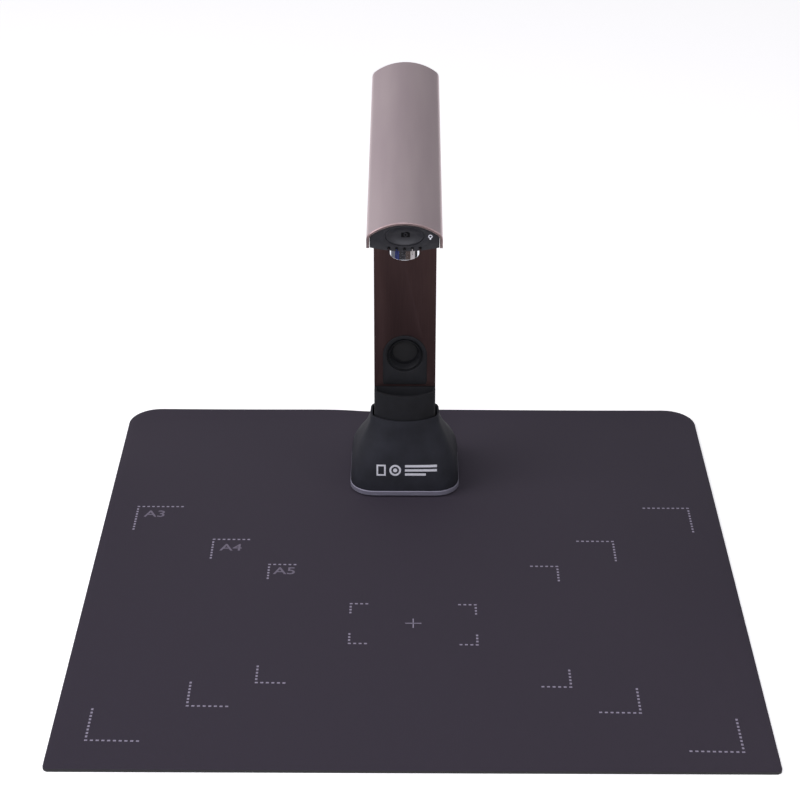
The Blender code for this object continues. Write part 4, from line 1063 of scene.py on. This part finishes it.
def print_on_head(solid, target, proud, name, material, body):
    """Lays a drawing made in the head's upright plane on a piece of the head, as a film."""
    for vertex in solid.verts:
        vertex.co = HEAD_PLACE @ (vertex.co + DRAWN_AT)
    lay_on(solid, target, PLATE_WAY, proud)
    give_body(solid, proud * 0.8)
    return new_piece(name, to_mesh(solid, name), material, body)


BULB = Vector((16.1, 0, 7.9)) * MM
solid = bmesh.new()
flat_ring(solid, BULB.x, BULB.z, 1.30 * MM, 0.80 * MM, 28)
flat_bar(solid, BULB.x, BULB.z - 1.75 * MM, 0.95 * MM, 0.9 * MM, 0.3 * MM)
print_on_head(solid, end_plate, 0.03 * MM, "bulb_pictogram", pad_print, "head")
print("bulb", round(BULB.x / MM, 1), "mm right of the middle")

# %% [markdown]
# The holes are drilled at one pitch just above the plate's crowned edge. Their rims lie in shade, and from
# where the camera stands a hole is only two dots wide. So a narrow ring of matt black is laid round each
# hole as painted shade, which keeps them clear.

# %% Painted shade round the holes
HOLE_PITCH = 4.9 * MM
HOLE_RISE = 1.9 * MM
solid = bmesh.new()
for i in range(-2, 3):
    hole_x = i * HOLE_PITCH
    flat_ring(solid, hole_x, crowned_edge(hole_x) + HOLE_RISE - LOWER_EDGE, 0.95 * MM, 0.62 * MM, 24)
print_on_head(solid, end_plate, 0.02 * MM, "hole_rim_painted_shade", black_print_and_painted_shade, "head")
print("holes", HOLE_PITCH / MM, "mm apart")

# %% [markdown]
# The camera is a body with a hump, printed in matt black, and its lens is a ring in the key's own plastic
# colour on top. Small faces let both follow the curve of the dish.

# %% Camera in the key's dish
GLYPH = Vector((0.6, 0, 7.8)) * MM
solid = bmesh.new()
flat_bar(solid, GLYPH.x, GLYPH.z, 5.4 * MM, 3.2 * MM, 0.4 * MM)
flat_bar(solid, GLYPH.x + 0.9 * MM, GLYPH.z + 1.95 * MM, 2.0 * MM, 0.7 * MM, 0.35 * MM)
print_on_head(solid, key, 0.03 * MM, "camera_pictogram", black_print_and_painted_shade, "capture_key")
solid = bmesh.new()
flat_ring(solid, GLYPH.x, GLYPH.z, 1.25 * MM, 0.75 * MM, 24)
print_on_head(solid, key, 0.06 * MM, "camera_ring", black_abs, "capture_key")
print("camera pictogram laid in", key.name)

# %% [markdown]
# ## Turned pieces
#
# The barrel, the glass and the black rings behind it are all turned or ground, so each is a profile of
# (radius, height) points spun about the lens axis. Blender's Spin or Screw could do it too, but a small
# function also closes the ends and keeps the number of faces in one place.

# %% Spinning a profile
LENS_Y = -204.1 * MM
BARREL_RADIUS = 9.3 * MM
TIP = LOWER_EDGE - 11.6 * MM
SPIN_STEPS = 96


def spun(name, profile, material, body, place, instead_of=(), angle=30, steps=SPIN_STEPS):
    """A profile of (radius, height) pairs spun about the upright axis; a radius of 0 closes an end."""
    solid = bmesh.new()
    loops = []
    for radius, height in profile:
        ring = circle(radius, steps) if radius else [(0, 0)]
        loops.append([solid.verts.new((x, y, height)) for x, y in ring])
    for lower, upper in zip(loops, loops[1:]):
        for i in range(steps):
            after = (i + 1) % steps
            corners = [lower[i % len(lower)], lower[after % len(lower)]]
            corners += [upper[after % len(upper)], upper[i % len(upper)]]
            unique = [c for n, c in enumerate(corners) if c not in corners[:n]]
            if len(unique) > 2:
                solid.faces.new(unique)
    bmesh.ops.recalc_face_normals(solid, faces=solid.faces)
    return new_piece(name, to_mesh(solid, name, angle), material, body, place, instead_of)


def lip(radius, height, round_by, start, end, steps=6):
    """A quarter round of a profile, from one angle to another in degrees about its own centre."""
    turns = [math.radians(start + (end - start) * i / steps) for i in range(steps + 1)]
    return [(radius + round_by * math.cos(t), height + round_by * math.sin(t)) for t in turns]


lens_place = HEAD_PLACE @ Matrix.Translation((0, LENS_Y, 0))
print("a lip has", len(lip(1, 0, 1, 0, 90)), "points")

# %% [markdown]
# ## The barrel
#
# The barrel is turned from brass, polished and chrome plated. It reaches out of the head's underside. The
# only thing a mirror finish shows of its shape is its edges, so the lip is a true quarter round.

# %% Barrel
BORE = 5.8 * MM
NECK = 7.0 * MM
GLASS_SEAT = 7.1 * MM
profile = [(BORE, LOWER_EDGE + 4 * MM), (NECK, LOWER_EDGE + 4 * MM), (NECK, LOWER_EDGE + 0.2 * MM)]
profile += lip(BARREL_RADIUS - 0.2 * MM, LOWER_EDGE, 0.2 * MM, 90, 0, 3)
profile += [(BARREL_RADIUS, LOWER_EDGE - 0.4 * MM), (BARREL_RADIUS, TIP + 0.8 * MM)]
profile += lip(BARREL_RADIUS - 0.4 * MM, TIP + 0.4 * MM, 0.4 * MM, 0, -90)
profile += [(7.9 * MM, TIP), (GLASS_SEAT, TIP + 1.2 * MM), (GLASS_SEAT, TIP + 4.2 * MM)]
profile += [(BORE, TIP + 4.2 * MM), profile[0]]
spun("barrel", profile, chrome, "head", lens_place, ("lens_barrel",))
print("barrel radius", round(BARREL_RADIUS / MM, 2), "mm, tip", round(-TIP / MM, 1), "mm below the hinge axis")

# %% [markdown]
# ## The glass and what is behind it
#
# The front glass bulges outwards. Behind it, black rings step down to the stop: they catch stray light, and
# their rims are the dark circles that make a lens look deep.

# %% Front glass and baffles
GLASS_RADIUS = 6.8 * MM
STEP_IN = 0.7 * MM
STEP_UP = 0.8 * MM
dome = []
for a in range(0, 91, 10):
    dome.append((GLASS_RADIUS * math.sin(math.radians(a)), TIP + (1.9 + 1.1 * (a / 90) ** 2) * MM))
glass_profile = dome + [(GLASS_RADIUS, TIP + 3.8 * MM), (0, TIP + 3.8 * MM)]
spun("front_glass", glass_profile, lens_glass, "head", lens_place, ("lens_glass",))

baffles = [(0, TIP + 12 * MM), (5.5 * MM, TIP + 12 * MM)]
for i in range(5):
    radius = 5.5 * MM - i * STEP_IN
    height = TIP + 4.5 * MM + i * STEP_UP
    baffles += [(radius, height), (radius, height + STEP_UP)]
baffles += [(2.0 * MM, TIP + 9.2 * MM), (0, TIP + 9.2 * MM)]
spun("lens_baffles", baffles, powder_coat, "head", lens_place, ("lens_stack",), steps=64)
print("glass radius", round(GLASS_RADIUS / MM, 1), "mm, with 5 baffles behind it")

# %% [markdown]
# ## Small pieces that show
#
# The hinge, the feet, the socket and the lamp windows keep their solid's shape, but they can be seen from
# some side. So each gets softened edges, sized for how it is made: more on a casting, less on a pressing.

# %% Small pieces that show
SHOWING = {
    "hinge_block": (powder_coat, 0.3 * MM),
    "hinge_cap_left": (powder_coat, 0.15 * MM),
    "hinge_cap_right": (powder_coat, 0.15 * MM),
    "head_bracket": (zinc, 0.15 * MM),
    "usb_socket": (zinc, 0.12 * MM),
    **{f"foot_{i}": (rubber, 0.1 * MM) for i in range(1, 5)},
    "pocket_pad": (rubber, 0.08 * MM),
    "lamp_window_left": (opal, 0.0),
    "lamp_window_right": (opal, 0.0),
}
for node, (material, edge_width) in SHOWING.items():
    refined(node, node + "_shown", material, edge=edge_width)
print("refined", len(SHOWING), "small pieces")

# %% [markdown]
# ## Pieces inside
#
# Screws, boards, cables and the weight are closed in, and show only when the head or base is opened. They
# stay as they came, but each gets the material that it is made of, picked by its slot in the record.

# %% Materials of the pieces inside
INSIDE = {
    "zinc_plated_steel": zinc,
    "brass": brass,
    "black_rubber": rubber,
    "circuit_board": solder_mask,
    "black_die_casting": powder_coat,
}
dressed = 0
for node, piece in nodes.items():
    if piece.hide_render or slot_of[node] not in INSIDE:
        continue
    piece.data.materials.clear()
    piece.data.materials.append(INSIDE[slot_of[node]])
    dressed += 1
print("dressed", dressed, "nodes as they are")

# %% [markdown]
# ## Floor and studio
#
# The object stands on a white table that runs out of sight and glows a little, as a lit product table
# does, so that hardly any shadow is left around the mat. The studio itself is a gradient, brighter on the
# left: that is what the anodised shell mirrors, and it is what makes the shell look round.

# %% Floor and world
FLOOR_HALF = 6.0
floor_mesh = bpy.data.meshes.new("floor")
floor_solid = bmesh.new()
bmesh.ops.create_grid(floor_solid, x_segments=1, y_segments=1, size=FLOOR_HALF)
floor_solid.to_mesh(floor_mesh)
floor_solid.free()
floor = bpy.data.objects.new("floor", floor_mesh)
floor.location = (0, 2.0, -0.1 * MM)
bpy.context.scene.collection.objects.link(floor)
table = surface_finish(
    "lit_white_table",
    ("fcfcfc", "ffffff"),
    None,
    tint=(2 * MM, 2, EVEN),
    Roughness=0.9,
    Emission_Color=(1, 1, 1, 1),
    Emission_Strength=0.42,
)
floor_mesh.materials.append(table)

STUDIO_LEFT = 0.62
STUDIO_RIGHT = 0.30
world = bpy.data.worlds.new("studio")
world.use_nodes = True
background = world.node_tree.nodes["Background"]
background.inputs["Color"].default_value = linear("f6f5fa")
way = add(world, "TexCoord").outputs["Generated"]
across = add(world, "SeparateXYZ", {"Vector": way}).outputs["X"]
span = {"Value": across, "From Min": -0.8, "From Max": 0.8, "To Min": STUDIO_LEFT, "To Max": STUDIO_RIGHT}
strength = add(world, "MapRange", span, interpolation_type="SMOOTHSTEP").outputs["Result"]
world.node_tree.links.new(strength, background.inputs["Strength"])
bpy.context.scene.world = world
print("studio from", STUDIO_LEFT, "on the left to", STUDIO_RIGHT, "on the right")

# %% [markdown]
# ## Soft lights
#
# Three large area lights stand above the table. The left one is the key and gives the shell its bright
# side. A weak one on the right keeps the far sides from going black, and one in front reaches the end
# plate, the pocket and the front of the base. Large lights are soft, as in a studio with diffusers.

# %% Soft lights


def soft_light(name, at, aim, width, height, power, colour):
    """A rectangular soft light that faces a point."""
    data = bpy.data.lights.new(name, "AREA")
    data.shape = "RECTANGLE"
    data.size = width
    data.size_y = height
    data.energy = power
    data.color = linear(colour)[:3]
    lamp = bpy.data.objects.new(name, data)
    lamp.location = at
    lamp.rotation_euler = (Vector(aim) - Vector(at)).to_track_quat("-Z", "Y").to_euler()
    bpy.context.scene.collection.objects.link(lamp)
    return lamp


LIGHTS = (
    ("key_left", (-1.2, -0.3, 1.4), (-0.2, 0.0, 0.0), 1.0, 1.0, 12, "fffaff"),
    ("fill_right", (1.6, -0.9, 1.2), (0, 0.1, 0.15), 0.9, 0.9, 3, "fff6f4"),
    ("top_front", (0.0, -1.5, 1.25), (0, 0.13, 0.1), 0.7, 0.4, 10.5, "f4f4ff"),
)
for light in LIGHTS:
    soft_light(*light)
bpy.context.scene.view_settings.view_transform = "Standard"
print("lights:", [light[0] for light in LIGHTS])

# %% [markdown]
# ## Cards for the chrome
#
# Polished chrome shows only what stands around it, and an empty studio would leave it plain white. So it
# gets a fan of coloured cards to mirror, which give it bands. They stand in front of the lens where only
# reflections can see them, and they throw no shadow. A painted stripe texture would not move with the view.

# %% Cards for the chrome to mirror
CARD_MIDDLE = Vector((STAND_X, AXIS.y + LENS_Y * math.cos(SLOPE), 0))
CARD_DISTANCE = 330 * MM
CARD_HEIGHT = 250 * MM
CARDS = (
    ("silver", -135, -83, "7b7d86", "8e9099"),
    ("blue", -83, -45, "2b3570", "364287"),
    ("grey", -45, 9, "2b2a2d", "3b393d"),
    ("brown", 9, 50, "463a37", "57483f"),
    ("cream", 50, 92, "c6bfbc", "dad3cf"),
    ("black", 92, 122, "1a1a1c", "242426"),
)
for name, start, end, low, high in CARDS:
    board = surface_finish(name + "_card", (low, high), None, tint=(3 * MM, 2, EVEN), Roughness=0.8)
    turns = [math.radians(start + (end - start) * i / 8) for i in range(9)]
    foot = [CARD_MIDDLE + CARD_DISTANCE * Vector((math.sin(t), -math.cos(t), 0)) for t in turns]
    head = [point + Vector((0, 0, CARD_HEIGHT)) for point in foot]
    mesh = to_mesh(skin([foot, head], closed_rings=False), name + "_card")
    mesh.materials.append(board)
    card = bpy.data.objects.new(name + "_card", mesh)
    bpy.context.scene.collection.objects.link(card)
    card.visible_camera = card.visible_diffuse = card.visible_shadow = card.visible_transmission = False
print("cards:", [card[0] for card in CARDS])
